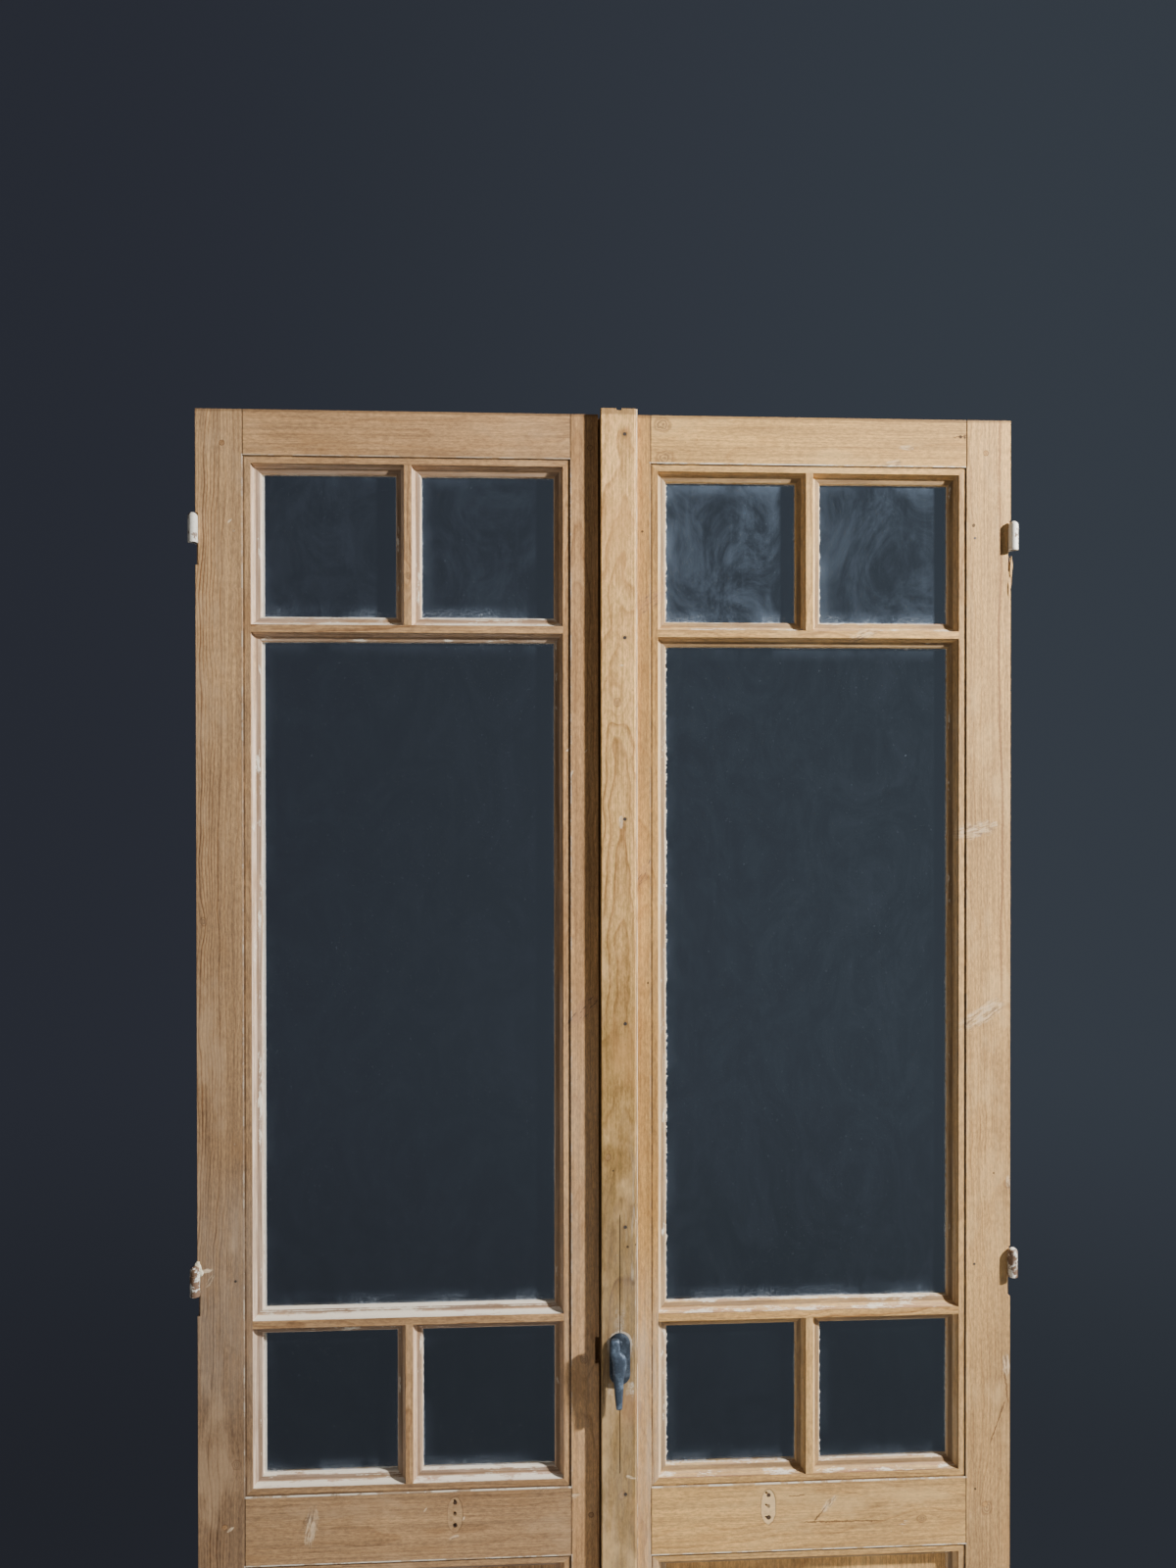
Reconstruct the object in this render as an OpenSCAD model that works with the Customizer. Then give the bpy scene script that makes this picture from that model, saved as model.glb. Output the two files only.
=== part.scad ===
// A pair of old glazed pine double doors, lifted off their frame.
// Each leaf is jointed from stiles, rails and moulded glazing bars around five panes and a wood panel.
// The right leaf carries the cover strip, the lever handle and the two bolt rods behind the strip.
// X runs across the pair, Y from the front to the back, Z up. The origin is at the floor, in the
// middle of the whole outline. Lengths are in millimetres.

/* [Pair] */
// Width over the two hinge edges
pair_w = 1300; // [1000:10:1700]
// Height of both leaves
leaf_h = 2350; // [2100:10:2900]
// Thickness of both leaves
leaf_t = 44; // [38:1:60]
// How much lower the right leaf's rails and bars lie than the left leaf's
right_set = 5; // [0:1:12]

/* [Stiles and rails] */
// Flat face of a hinge stile, edge to moulding
stile_face = 72.5; // [55:0.5:110]
// Distance from the middle of the pair to the moulding of each meeting stile
meeting_face = 64; // [56:0.5:90]
// Flat face of the top rail
top_rail_face = 71.5; // [50:0.5:110]
// Flat face of the middle rail
mid_rail_face = 110; // [80:1:160]
// Height of the middle rail's centre above the floor
mid_rail_z = 586.5; // [480:0.5:760]
// Flat face of the bottom rail
bottom_rail_face = 150; // [90:1:220]
// Thickness of every rail tenon
tenon_t = 14; // [10:1:16]
// Length of the tenons in the hinge stiles
tenon_hinge_l = 55; // [42:1:62]
// Length of the tenons in the meeting stiles
tenon_meeting_l = 39; // [37:1:40]
// Gap around a tenon in its mortise
tenon_clear = 0.2; // [0.1:0.05:0.5]
// Opened shoulder at the right leaf's top hinge-side corner
open_joint = 0.9; // [0:0.1:2]

/* [Mouldings and glazing bars] */
// Width of the flat band next to the faces
band_w = 12; // [6:0.5:18]
// How far the band lies below the faces
band_sink = 2; // [1:0.25:4]
// Width of the moulding between band and glass
cove_w = 14; // [11:0.5:20]
// Depth at which the hollow ends
cove_y = 15; // [10:0.5:18]
// Flat front of a glazing bar
bar_face = 12; // [8:0.5:24]
// Distance from the moulding line of a rail to the centre of the nearer cross bar
bar_inset = 270.5; // [180:0.5:330]
// Depth of the glass face behind the front
glass_y = 24; // [22:0.5:28]
// Thickness of the glass
glass_t = 3; // [2:0.5:4]
// Width of the rebate that the glass lies in
rebate_w = 9; // [6:0.5:10]
// Gap around a pane in its rebate
pane_clear = 1.5; // [0.5:0.25:2]
// Depth of the putty fillet behind the glass
putty_d = 13; // [8:0.5:15]

/* [Panels] */
// Thickness of the wood panels
panel_t = 12; // [8:0.5:14]
// Depth of a panel's front behind the faces
panel_y = 22; // [20:0.5:26]

/* [Meeting edges] */
// How far the right leaf's lip reaches left of the middle
lip_reach = 16.5; // [12:0.5:20]
// Width over which the two rebated edges lap
lap = 11.5; // [8:0.5:16]
// Open joint between the lip and the left leaf's face
lap_gap_face = 3.2; // [2.5:0.1:5]
// Open joint behind the lap
lap_gap_back = 3; // [2.5:0.1:5]
// Thickness of the lip
lip_t = 22; // [18:0.5:24]
// Clearance between the lip and the left leaf's tongue
lap_clear = 0.3; // [0.2:0.1:3]
// Width of the cover strip
strip_w = 58.5; // [56:0.5:72]
// Thickness of the cover strip
strip_t = 14; // [8:0.5:20]
// Height of the cover strip above the leaves
strip_proud = 6; // [0:0.5:15]
// Chamfer along the strip's right edge
strip_chamfer = 5; // [1:0.5:7]

/* [Hinges] */
// Outside diameter of a hinge knuckle
knuckle_d = 15; // [13:0.5:22]
// Diameter of the socket in a knuckle
socket_d = 10; // [7:0.5:11]
// Depth of that socket
socket_l = 36; // [25:1:38]
// Height of a knuckle with its domed top
hinge_h = 47; // [44:1:60]
// Distance of the knuckle axis outside the stile's edge
hinge_out = 2.7; // [1:0.1:6]
// Distance of the knuckle axis in front of the faces
hinge_front = 4.5; // [2:0.25:8]
// Depth of the upper knuckle's top below the leaf's top
hinge_upper_drop = 163; // [120:1:300]
// Depth of the middle knuckle's top below the leaf's top
hinge_middle_drop = 1340; // [1000:1:1500]
// Height of the lower knuckle's open end above the floor
hinge_lower_rise = 205; // [175:1:300]
// Thickness of the blade let into the stile
blade_t = 3; // [2:0.5:4]
// Length of the blade
blade_l = 64; // [62:1:66]
// Length of the empty recess below each knuckle
recess_l = 34; // [20:1:50]

/* [Handle and bolt rods] */
// Height of the spindle above the floor
handle_z = 852; // [800:1:1100]
// Height of the backplate
plate_h = 81; // [70:1:110]
// Width of the backplate
plate_w = 33; // [28:1:44]
// Thickness of the backplate
plate_t = 7; // [3:0.5:9]
// Length of the lever above the spindle
lever_up = 38; // [25:1:50]
// Length of the lever below the spindle
lever_down = 73; // [60:1:120]
// Thickness of the lever
lever_t = 12; // [8:0.5:16]
// Gap between the lever and the backplate
lever_gap = 5; // [3:0.5:20]
// Side of the square spindle
spindle_w = 8; // [6:0.5:9]
// Diameter of a bolt rod
rod_d = 8; // [6:0.5:9]
// Teeth on the pinion, an even number
pinion_teeth = 12; // [12:2:14]
// Module of the pinion and the racks
tooth_module = 2; // [1.8:0.1:2.1]
// Gap between tooth flanks
backlash = 0.35; // [0.2:0.05:0.6]

/* [Fasteners] */
// Diameter of the wooden pegs
peg_d = 9; // [6:0.5:12]
// Distance of a peg from the shoulder line
peg_in = 31.5; // [20:0.5:32]
// Diameter of the nail shanks
nail_d = 3; // [2:0.5:4]
// Diameter of the pins through the hinge blades
hinge_pin_d = 4; // [3:0.5:5]
// Gap around pegs, pins and nails in their holes
pin_clear = 0.1; // [0.05:0.05:0.3]
// Running gap around turning and sliding round parts
run_clear = 0.08; // [0.04:0.01:0.1]

/* [Hidden] */
$fn = 48;
PIECES = ["hinge_stile", "meeting_stile", "top_rail", "mid_rail", "bottom_rail",
          "upper_cross_bar", "lower_cross_bar", "upper_upright_bar", "lower_upright_bar",
          "pane_top_outer", "pane_top_inner", "pane_centre", "pane_low_outer", "pane_low_inner",
          "panel", "putty", "pegs", "hinge_upper", "hinge_middle", "hinge_lower", "hinge_pins"];

eps = 0.01;
through = 200;                                     // longer than any part is thick
half_w = pair_w / 2;

// The front parts stand proud of the faces by this much, and the outline is centred on it.
neck_y = -strip_t - plate_t;
lever_back_y = neck_y - lever_gap;
front_reach = -(lever_back_y - lever_t);
centre_y = (leaf_t - front_reach) / 2;

// Lines of a leaf, drawn with its hinge edge on the left.
hinge_quirk = -half_w + stile_face;
meeting_quirk = -meeting_face;
rebate_in = cove_w - rebate_w;                     // rebate wall, from the band's inner edge
function top_quirk(set) = leaf_h - top_rail_face - set;
function mid_top(set) = mid_rail_z + mid_rail_face / 2 - set;
function mid_low(set) = mid_rail_z - mid_rail_face / 2 - set;
low_quirk = bottom_rail_face;

// Rectangles are [left, bottom, right, top].
function glazed_field(set) = [hinge_quirk, mid_top(set), meeting_quirk, top_quirk(set)];
function panel_field(set) = [hinge_quirk, low_quirk, meeting_quirk, mid_low(set)];
function inset(r, d) = [r[0] + d, r[1] + d, r[2] - d, r[3] - d];
bar_x = (hinge_quirk + meeting_quirk) / 2;
function upper_bar_z(set) = top_quirk(set) - bar_inset;
function lower_bar_z(set) = mid_top(set) + bar_inset;
function lights(set) =
    let (f = inset(glazed_field(set), band_w), b = bar_face / 2,
         u = upper_bar_z(set), l = lower_bar_z(set))
    [[f[0], u + b, bar_x - b, f[3]],
     [bar_x + b, u + b, f[2], f[3]],
     [f[0], l + b, f[2], u - b],
     [f[0], f[1], bar_x - b, l - b],
     [bar_x + b, f[1], f[2], l - b]];
LOW = 0;                                           // sides of a rectangle
RIGHT = 1;
TOP = 2;
LEFT = 3;

// Meeting edges, as distances from the middle: positive runs from a leaf's own side past the middle.
left_face_edge = -(lip_reach + lap_gap_face);
left_tongue_edge = -lip_reach + lap;
right_back_edge = left_tongue_edge + lap_gap_back;
tongue_y = lip_t + lap_clear;

// Rail joints.
tenon_y = (leaf_t - tenon_t) / 2;
haunch = 18;
function tenon_span(name, set) =
    name == "top_rail" ? [top_quirk(set) + 4, leaf_h - haunch] :
    name == "mid_rail" ? [mid_low(set) + 8, mid_top(set) - 8] :
                         [haunch, low_quirk - 4];
RAILS = ["top_rail", "mid_rail", "bottom_rail"];
function peg_z(name, set) =
    name == "top_rail" ? leaf_h - 53 :
    name == "mid_rail" ? mid_rail_z + 9 - set :
                         low_quirk / 2;
stub_l = 9;                                        // stub tenons of the glazing bars
stub_h = bar_face - 3;
stub_t = 8;
stub_y = 13;
cross_stub_l = bar_face / 2 - 1.5;                 // an upright's stub stops short of a cross bar's middle

// Hinges.
knuckle_x = -half_w - hinge_out;
knuckle_y = -hinge_front;
knuckle_r = knuckle_d / 2;
function hinge_z(name) =
    name == "hinge_upper" ? leaf_h - hinge_upper_drop - hinge_h :
    name == "hinge_middle" ? leaf_h - hinge_middle_drop - hinge_h :
                             hinge_lower_rise;
HINGES = ["hinge_upper", "hinge_middle", "hinge_lower"];
drill_point = 0.3;                                 // height of the socket's cone, over its width
blade_y = 6;
blade_h = hinge_h - knuckle_r;
pin_from_edge = 59;
hinge_pin_l = 26;
recess_clear = 0.8;

// Old catch marks in the middle rails.
mark_holes = [-19.5, 0, 19.5];
mark_x = bar_x + 71;
mark_z = 20;
mark_d = 4;
mark_depth = 12;

// Notch in the left leaf's edge, across from the handle.
notch_h = 42;
notch_w = 6;
notch_d = 15;
notch_z = handle_z + 7;

// Cover strip, rods and gear.
strip_x = -lip_reach;
strip_foot = 5;
rod_x = strip_x + strip_w / 2 - 0.25;
pitch_r = tooth_module * pinion_teeth / 2;
tooth_pitch = PI * tooth_module;
pressure = 25;
addendum = 0.8 * tooth_module;
dedendum = tooth_module;
tip_r = pitch_r + addendum;
rack_back = 4;
travel = pitch_r * PI / 2;
gear_t = rod_d;
case_wall = 2;
case_in_w = 2 * (pitch_r + dedendum + rack_back + 0.6);
arm_h = 7;
arm_z = tip_r + 3;
case_in_h = 2 * (arm_z + arm_h + travel + 2);
case_y = 0.5;
gear_gap = 1.2;
gear_y = case_y + case_wall + gear_gap;
case_t = gear_t + 2 * (gear_gap + case_wall);
case_clear = 0.3;
rod_y = gear_y + rod_d / 2;
groove_w = rod_d + 1;
groove_d = rod_y + groove_w / 2;
hub_r = spindle_w * 0.75 + 2;
neck_r = 9;
neck_end_y = -3;
spindle_fit = 0.1;
rod_top = leaf_h - 2;
rod_foot = 4;
guide_w = 20;
guide_h = 12;
guide_back = groove_d + 0.5;
GUIDE_ZS = [leaf_h - 60, leaf_h - 560, leaf_h - 1130, 500, 60];
NAIL_SHARES = [0.103, 0.3275, 0.553, 0.7525, 0.976];  // of the way from above the gear to the top
nail_base = handle_z + 60;
NAIL_ZS = concat([40, 340, 635], [for (s = NAIL_SHARES) nail_base + s * (leaf_h - nail_base)]);
nail_x = rod_x + groove_w / 2 + 4.5;
nail_l = strip_t + 18;
nail_head_r = nail_d * 0.9;
crack_w = 1;
crack_d = 6;
crack_top = leaf_h - 1270;
crack_foot = leaf_h - 1681;
top_notch_w = 8;
top_notch_h = 3;
screw_z = plate_h / 2 - 13.5;
PLATE_LAYERS = [[0, 0.5], [1, 0.7], [2.5, 0.88], [5, 1]];  // how much smaller, and how far out
screw_r = 2;
screw_depth = 11;                                  // how far a backplate screw reaches into the strip
screw_head_r = 4;

PINE = [0.78, 0.60, 0.40];
PINE_PALE = [0.84, 0.67, 0.46];
GLASS = [0.35, 0.42, 0.46, 0.5];
PUTTY = [0.82, 0.80, 0.72];
IRON = [0.22, 0.24, 0.27];
PAINTED_IRON = [0.74, 0.73, 0.68];
STEEL = [0.5, 0.5, 0.5];

// ---- shared shapes -------------------------------------------------------------------------

// Moves from the front face of the leaves to the middle of the whole outline.
module placed() {
    translate([0, -centre_y, 0]) children();
}

// A leaf is drawn with its hinge edge on the left; the right leaf is its mirror image.
module as_leaf(side) {
    placed()
        mirror([side == "right" ? 1 : 0, 0, 0]) children();
}

function set_of(side) = side == "right" ? right_set : 0;

// A rectangle's side k: its local X runs along the side and its local Z points inwards.
module on_side(r, k) {
    corner = [[r[0], r[1]], [r[2], r[1]], [r[2], r[3]], [r[0], r[3]]][k];
    translate([corner[0], 0, corner[1]])
        rotate([0, -90 * k, 0]) children();
}

function side_length(r, k) = (k % 2 == 0) ? r[2] - r[0] : r[3] - r[1];

// A run of moulding with mitred ends. The profile is [depth, distance inwards].
module mitred_run(length, width, profile) {
    intersection() {
        rotate([90, 0, 90])
            linear_extrude(length)
                polygon(profile);
        translate([0, through / 2, 0])
            rotate([90, 0, 0])
                linear_extrude(through)
                    polygon([[0, 0], [length, 0], [length - width, width], [width, width]]);
    }
}

// Front of the moulding: a hollow, a fillet and a rounded nose at the sight edge.
hollow_w = cove_w * 0.62;
hollow_y = band_sink + 1.5;
nose_w = cove_w - hollow_w - 1;
nose_y = 4.5;
function moulding_front() = concat(
    [for (a = [0 : 15 : 90]) [hollow_y + (cove_y - hollow_y) * sin(a), hollow_w * (1 - cos(a))]],
    [for (a = [0 : 22.5 : 90]) [cove_y + 0.5 + nose_y * (1 - cos(a)), hollow_w + 1 + nose_w * sin(a)]]);

// Moulding around a pane, open to the back for the glass.
function glazed_profile() = concat(moulding_front(),
    [[glass_y, cove_w], [glass_y, rebate_in], [leaf_t, rebate_in], [leaf_t, 0]]);

// Moulding around a panel, with a groove for the panel's edge.
function grooved_profile() = concat(moulding_front(),
    [[panel_y, cove_w], [panel_y, rebate_in], [panel_y + panel_t, rebate_in],
     [panel_y + panel_t, cove_w], [leaf_t, cove_w], [leaf_t, 0]]);

function band_profile() = [[band_sink, 0], [leaf_t, 0], [leaf_t, band_w], [band_sink, band_w]];

module band_run(field, k) {
    on_side(field, k) mitred_run(side_length(field, k), band_w, band_profile());
}

module glazed_run(light, k) {
    on_side(light, k) mitred_run(side_length(light, k), cove_w, glazed_profile());
}

module grooved_run(field, k) {
    opening = inset(field, band_w);
    on_side(opening, k) mitred_run(side_length(opening, k), cove_w, grooved_profile());
}

// A flat-sided block given by its low and high corners.
module block(low, high) {
    translate(low) cube(high - low);
}

// A round bar along Y, from y0 to y1.
module bar_y(x, z, y0, y1, r) {
    translate([x, y0, z]) rotate([-90, 0, 0]) cylinder(r = r, h = y1 - y0);
}

// ---- joints of a leaf ----------------------------------------------------------------------

module rail_tenons(name, set, grow) {
    span = tenon_span(name, set);
    for (run = [[hinge_quirk - tenon_hinge_l, hinge_quirk + 1],
                [meeting_quirk - 1, meeting_quirk + tenon_meeting_l]])
        block([run[0] - (run[0] < hinge_quirk ? grow : 0), tenon_y - grow, span[0] - grow],
              [run[1] + (run[1] > meeting_quirk ? grow : 0), tenon_y + tenon_t + grow, span[1] + grow]);
}

module bar_stubs(z, grow) {
    ends = inset(glazed_field(0), band_w);
    for (run = [[ends[0] - stub_l, ends[0] + 1], [ends[2] - 1, ends[2] + stub_l]])
        block([run[0] - (run[0] < ends[0] - 1 ? grow : 0), stub_y - grow, z - stub_h / 2 - grow],
              [run[1] + (run[1] > ends[2] + 1 ? grow : 0), stub_y + stub_t + grow, z + stub_h / 2 + grow]);
}

module stile_mortises(set) {
    for (name = RAILS) rail_tenons(name, set, tenon_clear);
    for (z = [upper_bar_z(set), lower_bar_z(set)]) bar_stubs(z, tenon_clear);
}

module peg_row(name, set, r, y0, y1) {
    for (x = [hinge_quirk - peg_in, meeting_quirk + peg_in])
        bar_y(x, peg_z(name, set), y0, y1, r);
}

module peg_holes(set) {
    for (name = RAILS) peg_row(name, set, peg_d / 2 + pin_clear, -1, leaf_t + 1);
}

// ---- wood ----------------------------------------------------------------------------------

module stile_mouldings(set, k, light_list) {
    band_run(glazed_field(set), k);
    band_run(panel_field(set), k);
    for (i = light_list) glazed_run(lights(set)[i], k);
    grooved_run(panel_field(set), k);
}

module hinge_stile(set) {
    difference() {
        union() {
            block([-half_w, 0, 0], [hinge_quirk, leaf_t, leaf_h]);
            stile_mouldings(set, LEFT, [0, 2, 3]);
        }
        stile_mortises(set);
        peg_holes(set);
        for (name = HINGES) hinge_pocket(hinge_z(name));
    }
}

module meeting_stile(side) {
    set = set_of(side);
    difference() {
        union() {
            if (side == "left") {
                block([meeting_quirk, 0, 0], [left_face_edge, leaf_t, leaf_h]);
                block([left_face_edge - eps, tongue_y, 0], [left_tongue_edge, leaf_t, leaf_h]);
            } else {
                block([meeting_quirk, 0, 0], [-right_back_edge, leaf_t, leaf_h]);
                block([-right_back_edge - eps, 0, 0], [lip_reach, lip_t, leaf_h]);
            }
            stile_mouldings(set, RIGHT, [1, 2, 4]);
        }
        stile_mortises(set);
        peg_holes(set);
        if (side == "left")
            block([left_face_edge - notch_w, -1, notch_z - notch_h / 2],
                  [left_face_edge + 1, notch_d, notch_z + notch_h / 2]);
        else
            mirror([1, 0, 0]) rod_way();
    }
}

module rail(name, set) {
    z0 = name == "top_rail" ? top_quirk(set) : name == "mid_rail" ? mid_low(set) : 0;
    z1 = name == "top_rail" ? leaf_h : name == "mid_rail" ? mid_top(set) : low_quirk;
    open = (name == "top_rail" && set > 0) ? open_joint : 0;
    difference() {
        union() {
            block([hinge_quirk + open, 0, z0], [meeting_quirk, leaf_t, z1]);
            rail_tenons(name, set, 0);
            if (name == "top_rail") {
                band_run(glazed_field(set), TOP);
                for (i = [0, 1]) glazed_run(lights(set)[i], TOP);
            }
            if (name == "mid_rail") {
                band_run(glazed_field(set), LOW);
                for (i = [3, 4]) glazed_run(lights(set)[i], LOW);
                band_run(panel_field(set), TOP);
                grooved_run(panel_field(set), TOP);
            }
            if (name == "bottom_rail") {
                band_run(panel_field(set), LOW);
                grooved_run(panel_field(set), LOW);
            }
        }
        peg_holes(set);
        upright_mortises(set);
        if (name == "mid_rail")
            for (dz = mark_holes)
                bar_y(mark_x, mid_rail_z - set + mark_z + dz, -1, mark_depth, mark_d / 2);
    }
}

module upright_tenons(set, which, grow) {
    f = inset(glazed_field(set), band_w);
    b = bar_face / 2;
    ends = which == "upper" ? [upper_bar_z(set) + b, f[3]] : [f[1], lower_bar_z(set) - b];
    low_l = which == "upper" ? cross_stub_l : stub_l;
    high_l = which == "upper" ? stub_l : cross_stub_l;
    block([bar_x - stub_h / 2 - grow, stub_y - grow, ends[0] - low_l - grow],
          [bar_x + stub_h / 2 + grow, stub_y + stub_t + grow, ends[0] + 1]);
    block([bar_x - stub_h / 2 - grow, stub_y - grow, ends[1] - 1],
          [bar_x + stub_h / 2 + grow, stub_y + stub_t + grow, ends[1] + high_l + grow]);
}

module upright_mortises(set) {
    for (which = ["upper", "lower"]) upright_tenons(set, which, tenon_clear);
}

module cross_bar(set, which) {
    f = inset(glazed_field(set), band_w);
    z = which == "upper" ? upper_bar_z(set) : lower_bar_z(set);
    above = which == "upper" ? [0, 1] : [2];
    below = which == "upper" ? [2] : [3, 4];
    difference() {
        union() {
            block([f[0], band_sink, z - bar_face / 2], [f[2], leaf_t, z + bar_face / 2]);
            for (i = above) glazed_run(lights(set)[i], LOW);
            for (i = below) glazed_run(lights(set)[i], TOP);
            bar_stubs(z, 0);
        }
        upright_mortises(set);
    }
}

module upright_bar(set, which) {
    f = inset(glazed_field(set), band_w);
    b = bar_face / 2;
    z0 = which == "upper" ? upper_bar_z(set) + b : f[1];
    z1 = which == "upper" ? f[3] : lower_bar_z(set) - b;
    first = which == "upper" ? 0 : 3;
    block([bar_x - b, band_sink, z0], [bar_x + b, leaf_t, z1]);
    glazed_run(lights(set)[first], RIGHT);
    glazed_run(lights(set)[first + 1], LEFT);
    upright_tenons(set, which, 0);
}

module panel(set) {
    r = inset(panel_field(set), band_w + rebate_in + pane_clear);
    block([r[0], panel_y, r[1]], [r[2], panel_y + panel_t, r[3]]);
}

module pegs(set) {
    for (name = RAILS) peg_row(name, set, peg_d / 2, 0, leaf_t);
}

// ---- glass and putty -----------------------------------------------------------------------

module pane(set, i) {
    r = inset(lights(set)[i], rebate_in + pane_clear);
    block([r[0], glass_y, r[1]], [r[2], glass_y + glass_t, r[3]]);
}

module putty(set) {
    back = glass_y + glass_t;
    width = rebate_w - 1.5;
    for (light = lights(set), k = [0 : 3]) {
        ring = inset(light, rebate_in);
        on_side(ring, k)
            mitred_run(side_length(ring, k), width, [[back, 0], [back, width], [back + putty_d, 0]]);
    }
}

// ---- hinges --------------------------------------------------------------------------------

// Upper half of a lift-off hinge: a socket knuckle, closed above, on a blade let into the stile.
module hinge_half(z, ball) {
    difference() {
        union() {
            translate([knuckle_x, knuckle_y, z]) {
                cylinder(r = knuckle_r, h = blade_h - (ball ? 1.5 : 0));
                translate([0, 0, blade_h - (ball ? 0.5 : 0)]) sphere(r = knuckle_r);
            }
            block([knuckle_x, knuckle_y, z], [-half_w + 4, blade_y + blade_t, z + blade_h - 3]);
            block([-half_w + 3, blade_y, z], [-half_w + blade_l, blade_y + blade_t, z + blade_h - 3]);
        }
        translate([knuckle_x, knuckle_y, z - 1]) cylinder(r = socket_d / 2, h = socket_l + 1);
        translate([knuckle_x, knuckle_y, z + socket_l])
            cylinder(r1 = socket_d / 2, r2 = 0, h = socket_d * drill_point);
        if (ball)
            translate([knuckle_x, knuckle_y, z + blade_h - 6])
                rotate_extrude()
                    translate([knuckle_r + 0.6, 0]) circle(r = 1.6, $fn = 24);
        hinge_pin_at(z, hinge_pin_d / 2 + pin_clear);
    }
}

module hinge_pin_at(z, r) {
    bar_y(-half_w + pin_from_edge, z + blade_h / 2, -0.3, hinge_pin_l, r);
}

module hinge_pins() {
    for (name = HINGES) hinge_pin_at(hinge_z(name), hinge_pin_d / 2);
}

// Room in the stile for the knuckle, its neck and blade, and for the frame's half below.
module hinge_pocket(z) {
    translate([knuckle_x, knuckle_y, z - recess_l])
        cylinder(r = knuckle_r + recess_clear, h = recess_l + hinge_h + 1);
    back = blade_y + blade_t + tenon_clear;
    block([-half_w - 1, -1, z - recess_l], [-half_w + 4 + tenon_clear, back, z + blade_h]);
    block([-half_w - 1, blade_y - tenon_clear, z - tenon_clear],
          [-half_w + blade_l + tenon_clear, back, z + blade_h - 3 + tenon_clear]);
    hinge_pin_at(z, hinge_pin_d / 2 + pin_clear);
}

// ---- cover strip and what runs behind it -----------------------------------------------------

module cover_strip() {
    top = leaf_h + strip_proud;
    difference() {
        translate([0, 0, strip_foot])
            linear_extrude(top - strip_foot)
                polygon([[strip_x, 0], [strip_x, -strip_t + 1], [strip_x + 1, -strip_t],
                         [strip_x + strip_w - strip_chamfer, -strip_t],
                         [strip_x + strip_w, -strip_t + strip_chamfer], [strip_x + strip_w, 0]]);
        block([rod_x - top_notch_w / 2, -strip_t - 1, top - top_notch_h],
              [rod_x + top_notch_w / 2, 1, top + 1]);
        block([rod_x - crack_w / 2, -strip_t - 1, crack_foot],
              [rod_x + crack_w / 2, -strip_t + crack_d, crack_top]);
        bar_y(rod_x, handle_z, -through / 2, 1, neck_r + 1);
        nail_set(nail_d / 2 + pin_clear, nail_head_r + pin_clear);
        screw_set(screw_r + pin_clear, screw_r + pin_clear);
    }
}

module nail_set(shank_r, head_r) {
    for (z = NAIL_ZS) {
        bar_y(nail_x, z, -strip_t + 0.5, -strip_t + nail_l, shank_r);
        bar_y(nail_x, z, -strip_t - 0.2, -strip_t + 0.9, head_r);
    }
}

// Everything cut into the right meeting stile from its face: groove, gear pocket, guides and nails.
module rod_way() {
    block([rod_x - groove_w / 2, -1, -1], [rod_x + groove_w / 2, groove_d, leaf_h + 1]);
    case_w = case_in_w / 2 + case_wall + case_clear;
    case_h = case_in_h / 2 + case_wall + case_clear;
    block([rod_x - case_w, -1, handle_z - case_h],
          [rod_x + case_w, case_y + case_t + 0.1, handle_z + case_h]);
    for (z = GUIDE_ZS)
        block([rod_x - guide_w / 2 - pin_clear, -1, z - guide_h / 2 - pin_clear],
              [rod_x + guide_w / 2 + pin_clear, guide_back + pin_clear, z + guide_h / 2 + pin_clear]);
    nail_set(nail_d / 2 + pin_clear, nail_d / 2 + pin_clear);
}

module strip_nails() {
    nail_set(nail_d / 2, nail_head_r);
}

module rod_guides() {
    for (z = GUIDE_ZS)
        difference() {
            block([rod_x - guide_w / 2, 0.1, z - guide_h / 2],
                  [rod_x + guide_w / 2, guide_back, z + guide_h / 2]);
            translate([rod_x, rod_y, z - guide_h]) cylinder(r = rod_d / 2 + run_clear, h = 2 * guide_h);
        }
}

module case_outline(inner) {
    w = case_in_w + (inner ? 0 : 2 * case_wall);
    h = case_in_h + (inner ? 0 : 2 * case_wall);
    translate([rod_x - w / 2, 0, handle_z - h / 2]) cube([w, through, h]);
}

// Open box around the pinion and racks; the cover closes its front.
module gear_case() {
    back_y = case_y + case_t;
    difference() {
        intersection() {
            case_outline(false);
            block([-through, case_y + case_wall, 0], [through, back_y, leaf_h]);
        }
        intersection() {
            case_outline(true);
            block([-through, case_y, 0], [through, back_y - case_wall, leaf_h]);
        }
        bar_y(rod_x, handle_z, back_y - case_wall - 1, back_y + 1, hub_r + run_clear);
        translate([rod_x, rod_y, handle_z - case_in_h])
            cylinder(r = rod_d / 2 + run_clear, h = 2 * case_in_h);
    }
}

module case_cover() {
    difference() {
        intersection() {
            case_outline(false);
            block([-through, case_y, 0], [through, case_y + case_wall, leaf_h]);
        }
        bar_y(rod_x, handle_z, case_y - 1, case_y + case_wall + 1, hub_r + run_clear);
    }
}

module oval(w, h, t) {
    linear_extrude(t) {
        square([w, h - w], center = true);
        for (s = [-1, 1]) translate([0, s * (h - w) / 2]) circle(r = w / 2, $fn = 96);
    }
}

module backplate() {
    difference() {
        translate([rod_x, -strip_t, handle_z])
            rotate([90, 0, 0]) {
                for (layer = PLATE_LAYERS)
                    oval(plate_w - layer[0], plate_h - layer[0], plate_t * layer[1]);
            }
        bar_y(rod_x, handle_z, -through / 2, 0, neck_r + run_clear);
        screw_set(screw_r + pin_clear, screw_head_r + pin_clear);
    }
}

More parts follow.
